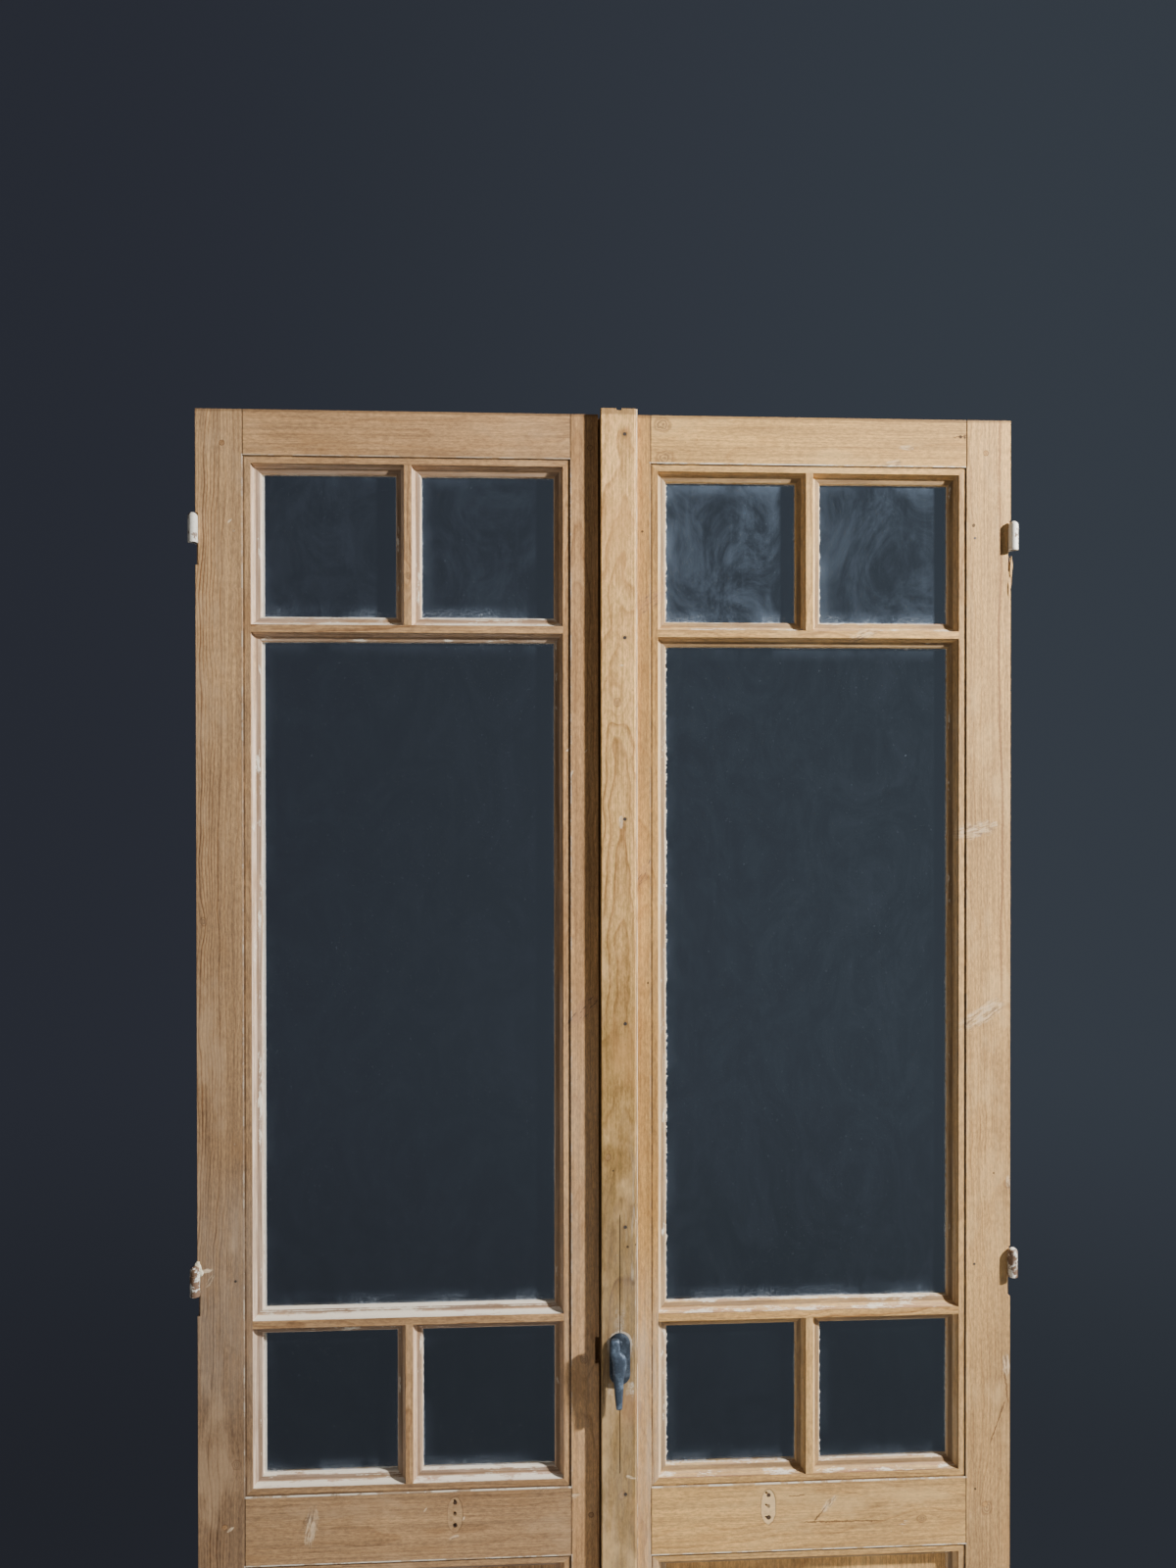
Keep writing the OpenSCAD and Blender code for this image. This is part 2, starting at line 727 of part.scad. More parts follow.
// Screws at the two ends of the backplate, with domed slotted heads.
module screw_set(shank_r, head_r) {
    for (s = [-1, 1]) {
        z = handle_z + s * screw_z;
        bar_y(rod_x, z, neck_y - 0.2, -strip_t + screw_depth, shank_r);
        bar_y(rod_x, z, neck_y - 0.2, neck_y + 1.2, head_r);
    }
}

module plate_screws() {
    difference() {
        union() {
            screw_set(screw_r, screw_head_r);
            for (s = [-1, 1])
                intersection() {
                    translate([rod_x, neck_y + 5, handle_z + s * screw_z]) sphere(r = 6.4);
                    bar_y(rod_x, handle_z + s * screw_z, neck_y - 2, neck_y, screw_head_r);
                }
        }
        for (s = [-1, 1])
            block([rod_x - screw_head_r, neck_y - 3, handle_z + s * screw_z - 0.6],
                  [rod_x + screw_head_r, neck_y - 0.3, handle_z + s * screw_z + 0.6]);
    }
}

// Forged lever: a head beside the spindle line, a round shoulder over the spindle, a tapering grip.
module lever_outline() {
    foot = -lever_down;
    polygon([[-17, lever_up - 4], [-15.5, lever_up], [-2.5, lever_up], [-1, lever_up - 3],
             [-0.5, lever_up - 19], [3, 17], [7, 13.5], [9.5, 8], [10, 0], [8.8, -9], [6.8, -18], [4.8, -26],
             [4.5, foot + 28], [2.8, foot + 2], [1.5, foot], [-6, foot], [-7.2, foot + 2],
             [-9.6, foot + 28], [-11.3, -26], [-12.6, -10], [-13, 8], [-14.5, 10], [-16.8, 13]]);
}

module lever_handle() {
    front_cut = lever_t * 0.3;
    translate([rod_x, 0, handle_z]) {
        rotate([90, 0, 0]) {
            translate([0, 0, -lever_back_y]) linear_extrude(lever_t - front_cut) lever_outline();
            translate([0, 0, -lever_back_y + lever_t - front_cut - eps])
                linear_extrude(front_cut + eps)
                    offset(delta = -1.6) lever_outline();
        }
        rotate([-90, 0, 0]) {
            translate([0, 0, lever_back_y - 1]) cylinder(r = neck_r, h = neck_end_y - lever_back_y + 1);
            translate([-spindle_w / 2, -spindle_w / 2, neck_end_y - 1])
                cube([spindle_w, spindle_w, case_y + case_t - 0.4 - neck_end_y + 1]);
        }
    }
}

// ---- pinion and racks ----------------------------------------------------------------------

base_r = pitch_r * cos(pressure);
function involute_angle(r) = let (t = sqrt(pow(r / base_r, 2) - 1)) t * 180 / PI - atan(t);
half_tooth = (tooth_pitch / 4 - backlash / 2) / pitch_r * 180 / PI;
function flank_angle(r) = half_tooth + involute_angle(pitch_r) - involute_angle(max(r, base_r));
FLANK_RS = [for (i = [0 : 4]) base_r + (tip_r - base_r) * i / 4];
function spoke(r, a) = [r * cos(a), r * sin(a)];
function tooth_points(at) = concat(
    [spoke(pitch_r - dedendum, at - flank_angle(base_r))],
    [for (r = FLANK_RS) spoke(r, at - flank_angle(r))],
    [for (i = [4 : -1 : 0]) spoke(FLANK_RS[i], at + flank_angle(FLANK_RS[i]))],
    [spoke(pitch_r - dedendum, at + flank_angle(base_r))]);

module pinion() {
    difference() {
        translate([rod_x, 0, handle_z])
            rotate([90, 0, 0]) {
                translate([0, 0, -gear_y - gear_t])
                    linear_extrude(gear_t)
                        polygon([for (i = [0 : pinion_teeth - 1])
                                     for (p = tooth_points(i * 360 / pinion_teeth)) p]);
                translate([0, 0, -case_y - case_t + 0.2]) cylinder(r = hub_r, h = case_t - 0.4);
            }
        side = spindle_w + 2 * spindle_fit;
        block([rod_x - side / 2, -1, handle_z - side / 2], [rod_x + side / 2, through, handle_z + side / 2]);
    }
}

// Outline of a rack whose teeth point to -X, pitch line on the Z axis, from z0 to z1.
module rack_outline(z0, z1) {
    flank = tan(pressure);
    half = tooth_pitch / 4 - backlash / 2;
    difference() {
        translate([-addendum, z0]) square([addendum + dedendum + rack_back, z1 - z0]);
        for (i = [floor(z0 / tooth_pitch) - 1 : ceil(z1 / tooth_pitch) + 1])
            translate([0, i * tooth_pitch]) {
                gap_pitch = tooth_pitch / 2 - half;
                polygon([[-addendum - 1, gap_pitch + (addendum + 1) * flank],
                         [dedendum, gap_pitch - dedendum * flank],
                         [dedendum, -gap_pitch + dedendum * flank],
                         [-addendum - 1, -gap_pitch - (addendum + 1) * flank]]);
            }
    }
}

// A rod with its rack: drawn for the upper rod, and turned half round for the lower one.
module rod_with_rack(length) {
    rack_foot = -travel - 8;
    translate([0, gear_y + gear_t, 0])
        rotate([90, 0, 0])
            linear_extrude(gear_t) {
                translate([pitch_r, 0]) rack_outline(rack_foot, arm_z);
                translate([-rod_d / 2, arm_z]) square([rod_d / 2 + pitch_r + dedendum + rack_back, arm_h]);
            }
    translate([0, rod_y, arm_z + 1]) cylinder(r = rod_d / 2, h = length - arm_z - 1);
}

module upper_rod() {
    translate([rod_x, 0, handle_z]) rod_with_rack(rod_top - handle_z);
}

module lower_rod() {
    translate([rod_x, 0, handle_z])
        rotate([0, 180, 0]) rod_with_rack(handle_z - rod_foot);
}

// ---- nodes ---------------------------------------------------------------------------------

module leaf_piece(side, piece) {
    set = set_of(side);
    if (piece == "hinge_stile") color(PINE) hinge_stile(set);
    if (piece == "meeting_stile") color(PINE) meeting_stile(side);
    for (name = RAILS)
        if (piece == name) color(PINE_PALE) rail(piece, set);
    if (piece == "upper_cross_bar") color(PINE) cross_bar(set, "upper");
    if (piece == "lower_cross_bar") color(PINE) cross_bar(set, "lower");
    if (piece == "upper_upright_bar") color(PINE_PALE) upright_bar(set, "upper");
    if (piece == "lower_upright_bar") color(PINE_PALE) upright_bar(set, "lower");
    if (piece == "pane_top_outer") color(GLASS) pane(set, 0);
    if (piece == "pane_top_inner") color(GLASS) pane(set, 1);
    if (piece == "pane_centre") color(GLASS) pane(set, 2);
    if (piece == "pane_low_outer") color(GLASS) pane(set, 3);
    if (piece == "pane_low_inner") color(GLASS) pane(set, 4);
    if (piece == "panel") color(PINE_PALE) panel(set);
    if (piece == "putty") color(PUTTY) putty(set);
    if (piece == "pegs") color(PINE) pegs(set);
    if (piece == "hinge_upper") color(PAINTED_IRON) hinge_half(hinge_z("hinge_upper"), false);
    if (piece == "hinge_middle") color(PAINTED_IRON) hinge_half(hinge_z("hinge_middle"), side == "left");
    if (piece == "hinge_lower") color(PAINTED_IRON) hinge_half(hinge_z("hinge_lower"), false);
    if (piece == "hinge_pins") color(STEEL) hinge_pins();
}

for (side = ["left", "right"], piece = PIECES)
    as_leaf(side) leaf_piece(side, piece);

placed() color(PINE_PALE) cover_strip();
placed() color(STEEL) strip_nails();
placed() color(IRON) gear_case();
placed() color(IRON) case_cover();
placed() color(IRON) rod_guides();
placed() color(IRON) backplate();
placed() color(IRON) plate_screws();
placed() color(IRON) lever_handle();
placed() color(STEEL) pinion();
placed() color(STEEL) upper_rod();
placed() color(STEEL) lower_rod();
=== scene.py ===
"""Looks of an old glazed pair of pine doors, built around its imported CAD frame. Lengths are in metres."""
import math
import random

import bmesh
import bpy
from mathutils import Matrix, Vector, noise


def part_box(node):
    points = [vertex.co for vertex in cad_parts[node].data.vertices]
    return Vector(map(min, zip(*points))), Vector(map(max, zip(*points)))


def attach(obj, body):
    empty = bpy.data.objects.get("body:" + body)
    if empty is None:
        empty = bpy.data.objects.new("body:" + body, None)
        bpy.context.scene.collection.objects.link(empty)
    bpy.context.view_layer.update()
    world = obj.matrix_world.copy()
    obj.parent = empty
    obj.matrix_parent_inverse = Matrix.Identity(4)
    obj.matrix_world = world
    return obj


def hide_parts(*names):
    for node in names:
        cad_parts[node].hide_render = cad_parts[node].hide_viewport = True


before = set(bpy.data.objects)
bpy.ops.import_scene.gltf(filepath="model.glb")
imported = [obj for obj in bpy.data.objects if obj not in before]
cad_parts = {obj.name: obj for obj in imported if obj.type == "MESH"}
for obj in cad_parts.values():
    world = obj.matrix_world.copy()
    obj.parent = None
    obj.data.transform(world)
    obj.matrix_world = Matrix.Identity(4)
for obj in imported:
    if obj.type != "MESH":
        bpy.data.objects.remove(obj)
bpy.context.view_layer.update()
MM = 0.001

# ---- places taken from the frame ----

PANES = ("pane_top_outer", "pane_top_inner", "pane_centre", "pane_low_outer", "pane_low_inner")
SIDES = ("left", "right")


def low(node):
    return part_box(node)[0]


def high(node):
    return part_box(node)[1]


def middle(node):
    return (low(node) + high(node)) / 2


FACE_Y = low("left_top_rail").y              # front of the leaves
LEAF_TOP = high("left_hinge_stile").z
STRIP_Y = low("cover_strip").y
SPINDLE = middle("backplate")
MOULDING = 26 * MM                           # band and moulding together, from a board's face to the sight edge


def leaf_lines(side):
    """Where a leaf's faces end: x of its two stiles' inner edges, z of its rails' edges."""
    turned = side == "right"
    hinge, meeting = f"{side}_hinge_stile", f"{side}_meeting_stile"
    return {
        "hinge": low(hinge).x + MOULDING if turned else high(hinge).x - MOULDING,
        "meeting": high(meeting).x - MOULDING if turned else low(meeting).x + MOULDING,
        "top": low(side + "_top_rail").z + MOULDING,
        "mid_top": high(side + "_mid_rail").z - MOULDING,
        "mid_low": low(side + "_mid_rail").z + MOULDING,
        "low": high(side + "_bottom_rail").z - MOULDING,
    }

# ---- drawing shader nodes ----


class Wire:
    """What a shader node puts out. Sums, products and so on of wires place Math nodes in the tree being drawn."""
    tree = None

    def __init__(self, socket):
        self.socket = socket

    def __add__(self, other):
        return calc("ADD", self, other)

    def __radd__(self, other):
        return calc("ADD", other, self)

    def __sub__(self, other):
        return calc("SUBTRACT", self, other)

    def __rsub__(self, other):
        return calc("SUBTRACT", other, self)

    def __mul__(self, other):
        return calc("MULTIPLY", self, other)

    def __truediv__(self, other):
        return calc("DIVIDE", self, other)

    def __pow__(self, other):
        return calc("POWER", self, other)

    def __abs__(self):
        return calc("ABSOLUTE", self)


def plug(value, socket):
    """Links a wire to an input socket, or sets the socket to a value."""
    if isinstance(value, Wire):
        Wire.tree.links.new(value.socket, socket)
    else:
        socket.default_value = value


def new_node(kind, inputs=None, **settings):
    node = Wire.tree.nodes.new("ShaderNode" + kind)
    for key, value in settings.items():
        setattr(node, key, value)
    for key, value in (inputs or {}).items():
        plug(value, node.inputs[key])
    return node


def put(kind, inputs, output=0, **settings):
    return Wire(new_node(kind, inputs, **settings).outputs[output])


def calc(operation, a, b=0.0, c=0.0, clamp=False):
    return put("Math", {0: a, 1: b, 2: c}, operation=operation, use_clamp=clamp)


def larger(a, b):
    return calc("MAXIMUM", a, b)


def smaller(a, b):
    return calc("MINIMUM", a, b)


def length(a, b):
    """How far (a, b) is from nothing."""
    return calc("SQRT", a * a + b * b)


def vector_calc(operation, a, b):
    output = "Value" if operation == "DISTANCE" else "Vector"
    return put("VectorMath", {0: a, 1: b}, output, operation=operation)


def drawn(place, share):
    """Draws a pattern out along a board: the smaller the share, the longer it gets."""
    return vector_calc("MULTIPLY", place, (1.0, 1.0, share))


def moved(place, seed):
    """Another part of the same pattern for each seed."""
    return vector_calc("ADD", place, join(seed, seed, seed))


def step(value, start, end, to=(0.0, 1.0)):
    """A smooth step of value between start and end; it falls where end is below start."""
    rising = end > start
    ends = (start, end) if rising else (end, start)
    reach = to if rising else (to[1], to[0])
    return put("MapRange", {"Value": value, "From Min": ends[0], "From Max": ends[1],
                            "To Min": reach[0], "To Max": reach[1]}, interpolation_type="SMOOTHSTEP")


def band(value, start, full, fading, end):
    """1 where value lies between full and fading, 0 before start and after end, smooth between."""
    return step(value, start, full) * step(value, end, fading)


def step_mm(value, start, end):
    return step(value, start * MM, end * MM)


def band_mm(value, *edges):
    return band(value, *(edge * MM for edge in edges))


def cloud(vector, scale, detail=3.0, roughness=0.55, distortion=0.0):
    return put("TexNoise", {"Vector": vector, "Scale": scale, "Detail": detail, "Roughness": roughness,
                            "Distortion": distortion})


def mix(factor, a, b, blend="MIX"):
    node = new_node("Mix", data_type="RGBA", blend_type=blend)
    for key, value in (("Factor", factor), ("A", a), ("B", b)):
        if not isinstance(value, Wire) and key != "Factor":
            value = (*value, 1.0)
        plug(value, next(s for s in node.inputs if s.name == key and s.enabled))
    return Wire(next(s for s in node.outputs if s.enabled))


def laid_over(colour, *layers):
    """Lays colours over one another; each layer is (mask, strength, colour)."""
    for mask, strength, over in layers:
        colour = mix(mask * strength, colour, over)
    return colour


def toned(colour, *shares):
    """A colour with its red, green and blue each at a share, or all three at one."""
    return tuple(c * share for c, share in zip(colour, shares * (3 // len(shares))))


def relief(strength, depth, height, arris=None):
    """A bump of the given depth; arris is the radius its edges are rounded to."""
    inputs = {"Strength": strength, "Distance": depth, "Height": height}
    if arris:
        inputs["Normal"] = put("Bevel", {"Radius": arris}, samples=3)
    return put("Bump", inputs)


def split(vector):
    return [Wire(socket) for socket in new_node("SeparateXYZ", {0: vector}).outputs]


def join(x, y, z):
    return put("CombineXYZ", {0: x, 1: y, 2: z})


def here(kind="Object"):
    """The point being shaded, in the row frame."""
    return Wire(new_node("TexCoord").outputs[kind])


def offsets(place, centre):
    """How far a place lies from a centre along each axis."""
    return split(vector_calc("SUBTRACT", place, centre))


def shared_effect(inputs, outputs):
    """Makes a shader node group, with the function's name, of what the function draws: it takes the inputs as wires
    and gives the outputs in their order. An input whose name ends in > is a vector."""
    def build(draw):
        tree = bpy.data.node_groups.new(draw.__name__, "ShaderNodeTree")
        for labels, way in ((inputs, "INPUT"), (outputs, "OUTPUT")):
            for label in labels:
                kind = "NodeSocketVector" if label.endswith(">") else "NodeSocketFloat"
                tree.interface.new_socket(label.rstrip(">"), in_out=way, socket_type=kind)
        Wire.tree = tree
        starts, ends = tree.nodes.new("NodeGroupInput").outputs, tree.nodes.new("NodeGroupOutput").inputs
        drawn_wires = draw(*(Wire(starts[label.rstrip(">")]) for label in inputs))
        for label, wire in zip(outputs, drawn_wires):
            plug(wire, ends[label])
        return tree
    return build


def use(group, inputs):
    return {socket.name: Wire(socket) for socket in new_node("Group", inputs, node_tree=group).outputs}


def new_material(name):
    material = bpy.data.materials.new(name)
    material.use_nodes = True
    Wire.tree = material.node_tree
    return material, material.node_tree.nodes["Principled BSDF"]


def feed(shader, **inputs):
    """Feeds the shader's inputs; an underscore in a name stands for a space."""
    for key, value in inputs.items():
        plug(value, shader.inputs[key.replace("_", " ")])


# ---- shared effects ----


@shared_effect(("Place>", "Pith Across", "Pith Depth", "Ring Gap", "Lean", "Seed", "Knots"),
               ("Ring", "Fibre", "Patch", "Height"))
def board_grain(place, pith_across, pith_depth, ring_gap, lean, seed, knots):
    """Growth rings and fibres of one board. Place is (across, depth, along) it; a lean gives pointed arcs."""
    shifted = moved(place, seed)
    sway = put("TexNoise", {"Vector": drawn(shifted, 0.16), "Scale": 7.0, "Detail": 2.0}, output="Color")
    sway = vector_calc("MULTIPLY", vector_calc("SUBTRACT", sway, (0.5, 0.5, 0.5)), (0.050, 0.040, 0.0))
    x, y, z = split(vector_calc("ADD", place, sway))
    wobble = cloud(vector_calc("MULTIPLY", shifted, (0.7, 0.7, 0.30)), 40.0, 1.0) * 0.010
    radius = length(x - pith_across, y - pith_depth) + wobble + z * lean
    turns = (radius + knots) / ring_gap
    part = calc("FRACT", turns)
    own = put("TexWhiteNoise", {"W": calc("FLOOR", turns)}, noise_dimensions="1D")
    late = part ** 2.6 * step(part, 1.0, 0.84) * step(own, 0.0, 1.0, (0.35, 1.0))
    strength = cloud(vector_calc("MULTIPLY", shifted, (3.0, 3.0, 0.4)), 9.0, 2.0)
    ring = late * step(strength, 0.3, 0.7, (0.45, 1.0))
    fine = cloud(drawn(shifted, 0.018), 700.0, 4.0, 0.7)
    broad = cloud(drawn(shifted, 0.010), 230.0, 3.0, 0.6)
    fibre = fine * 0.5 + broad * 0.5
    patch = cloud(drawn(shifted, 0.35), 5.0, 4.0, 0.6)
    return ring, fibre, patch, late * 0.5 + fibre * 0.8


@shared_effect(("Place>", "Centre>", "Size", "Seed"), ("Core", "Rim", "Push"))
def knot(place, centre, size, seed):
    """One knot: how near a point is to it, its dark rim, and the push it gives the rings around it."""
    away = vector_calc("SUBTRACT", place, centre)
    x, _, z = split(away)
    rough = cloud(vector_calc("ADD", away, join(seed, 0.0, 0.0)), 120.0, 3.0)
    share = (length(x, z * 0.8) + (rough - 0.5) * (size * 1.1)) / size
    core = step(share, 1.0, 0.8) * step(calc("SINE", share * 15.0), -0.6, 0.6, (0.25, 1.0))
    rim = band(share, 0.75, 1.0, 1.05, 1.35)
    near = length(x, z * 0.35) / (size * 2.6)
    return core, rim, calc("EXPONENT", near * near * -1.0) * (size * 1.6)


@shared_effect(("Place>", "Depth", "Up", "Amount", "Seed"), ("Mask", "Wash", "Line", "Stain"))
def old_paint(place, depth, up, amount, seed):
    """What the stripping left of white paint: a thin wash in the mouldings, flakes, and a line at the glass; with
    it, painted shade in the moulding's steps and a stain on level tops. Depth is measured from the board's face: the
    hollow of the moulding comes first, then its nose, then the glass."""
    place = moved(place, seed)
    in_hollow = band_mm(depth, 2.2, 4, 14, 18)
    in_nose = band_mm(depth, 14, 16, 22, 30)
    at_glass = band_mm(depth, 18.4, 20.4, 24.5, 26)
    level_top = step(up, 0.2, 0.9) * step_mm(depth, 1.5, 4)
    streaks = cloud(drawn(place, 0.03), 260.0, 4.0, 0.65)
    slow = cloud(drawn(place, 0.25), 24.0, 4.0, 0.6)
    wash = (in_hollow * 0.75 + in_nose * 0.80 + level_top * 0.25) * amount
    thin = step(streaks, 0.37, 0.64, (0.35, 1.15)) * step(slow, 0.34, 0.62, (0.50, 1.10))
    stain = level_top * step(streaks, 0.46, 0.56) * step(slow, 0.38, 0.52)
    broken = cloud(drawn(place, 0.30), 75.0, 6.0, 0.75)
    coarse = cloud(place, 7.0, 3.0, 0.5)
    level = calc("MULTIPLY_ADD", coarse, 0.5, calc("MULTIPLY_ADD", broken, 1.05, -0.15))
    load = wash * 0.20 + level_top * (amount * 0.33)
    flakes = step(level + load - 0.93, -0.03, 0.06)
    ragged = step(cloud(place, 150.0, 4.0, 0.6), 0.38, 0.50)
    glass_line = at_glass * ragged * smaller(amount * 1.5, 0.9)
    specks = step(cloud(place, 260.0, 2.0, 0.4), 0.745, 0.77) * step(coarse, 0.52, 0.70) * 0.45
    # painted shade: dark lines in the two steps of the moulding, band to hollow and hollow to nose
    corners = larger(band_mm(depth, 2.05, 2.4, 4.0, 5.6), band_mm(depth, 13.4, 14.6, 15.9, 17.2))
    line = corners * step(slow, 0.35, 0.60, (0.55, 1.0))
    return larger(larger(flakes, glass_line), specks), smaller(wash * thin, 1.0), line, stain


@shared_effect(("Place>", "Centre>", "Half Width", "Half Height", "Depth", "Top", "Upright", "Seed"),
               ("Dirt And Shade", "Paint", "Inside"))
def quirk_line(place, centre, half_width, half_height, depth, top, upright, seed):
    """Marks along a rectangle's outline in the plane of the faces: dirt and painted shade in its corner, paint on
    its outer arris.
    """
    x, _, z = offsets(place, centre)
    across, along = abs(x) - half_width, abs(z) - half_height
    outside = larger(across, along)
    broken = cloud(moved(place, seed), 30.0, 6.0, 0.7)
    # dirt and painted shade: a dark line in the corner of the step down to the band
    corner = band_mm(outside, -3.4, -2.0, 0.2, 0.8) * band_mm(depth, 0.4, 1.2, 3, 5)
    dirt_and_shade = corner * step(broken, 0.36, 0.52, (0.50, 1.0))
    level = step_mm(along - across, -4, 4)
    worn = step(broken + level * 0.05, 0.50, 0.58, (0.22, 1.0))
    by_height = put("MapRange", {"Value": step(z, 0.0, 0.01), "To Min": 1.0, "To Max": top})
    worn = worn * put("MapRange", {"Value": level, "To Min": upright, "To Max": by_height})
    paint = band_mm(outside, -0.8, 0, 1.0, 2.6) * worn * step_mm(depth, 2.2, 1.4)
    return dirt_and_shade, paint, step_mm(outside, 0.6, -0.6)


@shared_effect(("Place>", "Centre>", "Length", "Tilt", "Seed"), ("Dark", "Pale"))
def branch_mark(place, centre, reach, tilt, seed):
    """A small branch cut along its length: a ragged slanting patch, dark and pale by turns across it."""
    x, _, z = offsets(place, centre)
    cosine, sine = calc("COSINE", tilt), calc("SINE", tilt)
    along = x * cosine + z * sine
    across = z * cosine - x * sine
    local = join(along, across, seed)
    share = calc("SQRT", along * along + across * across * 9.0) / reach
    body = step(share + (cloud(local, 110.0, 4.0, 0.7) - 0.5), 0.75, 0.38)
    stripes = cloud(vector_calc("MULTIPLY", local, (0.22, 1.0, 1.0)), 260.0, 4.0, 0.65)
    return body * step(stripes, 0.52, 0.62), body * step(stripes, 0.55, 0.42, (0.15, 1.0))


@shared_effect(("Place>", "Seed"), ("Spots", "Scuffs", "Mottle", "Height"))
def grime(place, seed):
    """Scuffs, dents and dark spots of long use on bare wood."""
    place = moved(place, seed)
    spots = step(cloud(place, 160.0, 3.0, 0.5), 0.70, 0.78)
    scuffs = step(cloud(drawn(place, 0.25), 34.0, 5.0, 0.65), 0.52, 0.74)
    mottle = cloud(drawn(place, 0.30), 330.0, 5.0, 0.72)
    dents = step(put("TexVoronoi", {"Vector": place, "Scale": 22.0}, feature="F1"), 0.16, 0.05)
    return spots, scuffs, mottle, dents * -1.0


@shared_effect(("Place>", "Scale"), ("Rubbed", "Dull", "Height"))
def worn_metal(place, scale):
    """Rough forged or cast metal: pits, brighter rubbed places and dull ones."""
    coarse = cloud(place, scale * 60.0, 5.0, 0.6)
    fine = cloud(place, scale * 420.0, 4.0, 0.6)
    return step(coarse, 0.45, 0.75), step(fine, 0.4, 0.7), coarse + fine * 0.4


# ---- wood ----

PINE_TONES = {                               # early wood, late wood and knots, as light reflected
    "left": ((0.515, 0.317, 0.157), (0.222, 0.106, 0.043), (0.110, 0.048, 0.022)),
    "right": ((0.685, 0.422, 0.166), (0.328, 0.155, 0.049), (0.170, 0.075, 0.033)),
    "strip": ((0.820, 0.510, 0.212), (0.345, 0.165, 0.056), (0.120, 0.050, 0.022)),
}
PAINT_WHITE = (0.80, 0.75, 0.66)
WASH = {"left": (0.86, 0.70, 0.59), "right": (0.82, 0.68, 0.48), "strip": (0.80, 0.66, 0.50)}
# dark brown of dirt, and of the painted shade in the mouldings' corners and steps
DIRT_AND_SHADE_BROWN = (0.085, 0.050, 0.028)
PALE_WOOD = (0.86, 0.70, 0.50)
HOLE_DARK = (0.045, 0.028, 0.020)
LINES = {                                    # half width, strength, colour
    "crack": (1.5 * MM, 0.75, (0.10, 0.045, 0.022)),
    "vein": (2.6 * MM, 0.62, (0.22, 0.110, 0.055)),
}


def board_place(place, upright, centre):
    """Turns a point of the row frame into (across, depth, along) of one board."""
    x, y, z = split(place)
    if upright:
        return join(x - centre.x, y, z)
    return join(z - centre.z, y, x)


def seam_dirt(place, seams, seed):
    """A fine dark line where two boards meet. seams are (axis, value, low, high) in the row frame."""
    coords = split(place)
    broken = step(cloud(vector_calc("ADD", place, (seed, 0.0, 0.0)), 26.0, 5.0, 0.7), 0.36, 0.50, (0.50, 1.0))
    total = 0.0
    for axis, value, start, end in seams:
        near = abs(coords[axis] - value)
        line = step_mm(near, 1.5, 0.6) * band(coords[2 - axis], start - 1 * MM, start, end, end + 1 * MM)
        total = larger(total, line)
    return total * broken


def haze_mark(place, z, half_height, percent):
    """A worn white wash over a length of a board."""
    rise = split(place)[2]
    streaky = step(cloud(drawn(place, 0.12), 70.0, 5.0, 0.65), 0.34, 0.66, (0.45, 1.35))
    patch = step(abs(rise - z), half_height, half_height * 0.45)
    return patch * streaky, percent / 100, (0.74, 0.64, 0.54)


def branch_layers(kind, place, centre, size, tilt, dark):
    """A branch mark, a brown one, or a pale scratch: its dark stripes and its pale ones."""
    figure = use(branch_mark, {"Place": place, "Centre": centre, "Length": size, "Tilt": math.radians(tilt),
                               "Seed": centre[0] + centre[2]})
    striped, pale = {"branch": (0.80, 0.50), "brown": (0.75, 0.40), "scratch": (0.60, 0.90)}[kind]
    stain = (0.82, 0.68, 0.50) if kind == "scratch" else tuple(0.5 * c + 0.06 for c in dark)
    ground = tuple(2.4 * c + 0.08 for c in dark) if kind == "brown" else PALE_WOOD
    return (figure["Dark"], striped, stain), (figure["Pale"], pale, ground)


def line_mark(kind, place, centre, size, tilt, rough):
    """A drying crack, or the wandering line of a resin vein."""
    x, _, z = offsets(place, centre)
    c, s = math.cos(math.radians(tilt)), math.sin(math.radians(tilt))
    along = x * c + z * s
    across = z * c - x * s + rough * (5 * MM)
    if kind == "vein":
        across = across + (cloud(join(size, centre[0], along), 3.2, 1.0) - 0.5) * (30 * MM)
    half, strength, colour = LINES[kind]
    line = step(abs(across), half, half * 0.4) * step(abs(along), size / 2, size * 0.35)
    return line, strength, colour


def board_marks(place, colour, dark, marks, face):
    """Small marks of one board. marks are (kind, X, Z, size, tilt in degrees) in the row frame; for a haze, size is
    half its height and the last number its strength in percent."""
    for index, (kind, x, z, size, tilt) in enumerate(marks):
        centre = (x, face, z)
        if kind == "haze":
            layers = [haze_mark(place, z, size, tilt)]
        elif kind in ("branch", "scratch", "brown"):
            layers = branch_layers(kind, place, centre, size, tilt, dark)
        else:
            rough = cloud(vector_calc("ADD", place, (index, 0.0, 0.0)), 210.0, 3.0) - 0.5
            if kind == "hole":
                away = vector_calc("DISTANCE", place, centre) + rough * (size * 1.1)
                layers = [(step(away, size, size * 0.7), 0.85, HOLE_DARK)]
            else:
                layers = [line_mark(kind, place, centre, size, tilt, rough)]
        colour = laid_over(colour, *layers)
    return colour


def knot_masks(place, knots, seed):
    """The push, the cores and the rims of a board's knots together."""
    push, core, rim = 0.0, 0.0, 0.0
    for index, (across, along, size) in enumerate(knots):
        one = use(knot, {"Place": place, "Centre": (across, 0.0, along), "Size": size, "Seed": index + seed})
        push = push + one["Push"]
        core, rim = larger(core, one["Core"]), larger(rim, one["Rim"])
    return push, core, rim


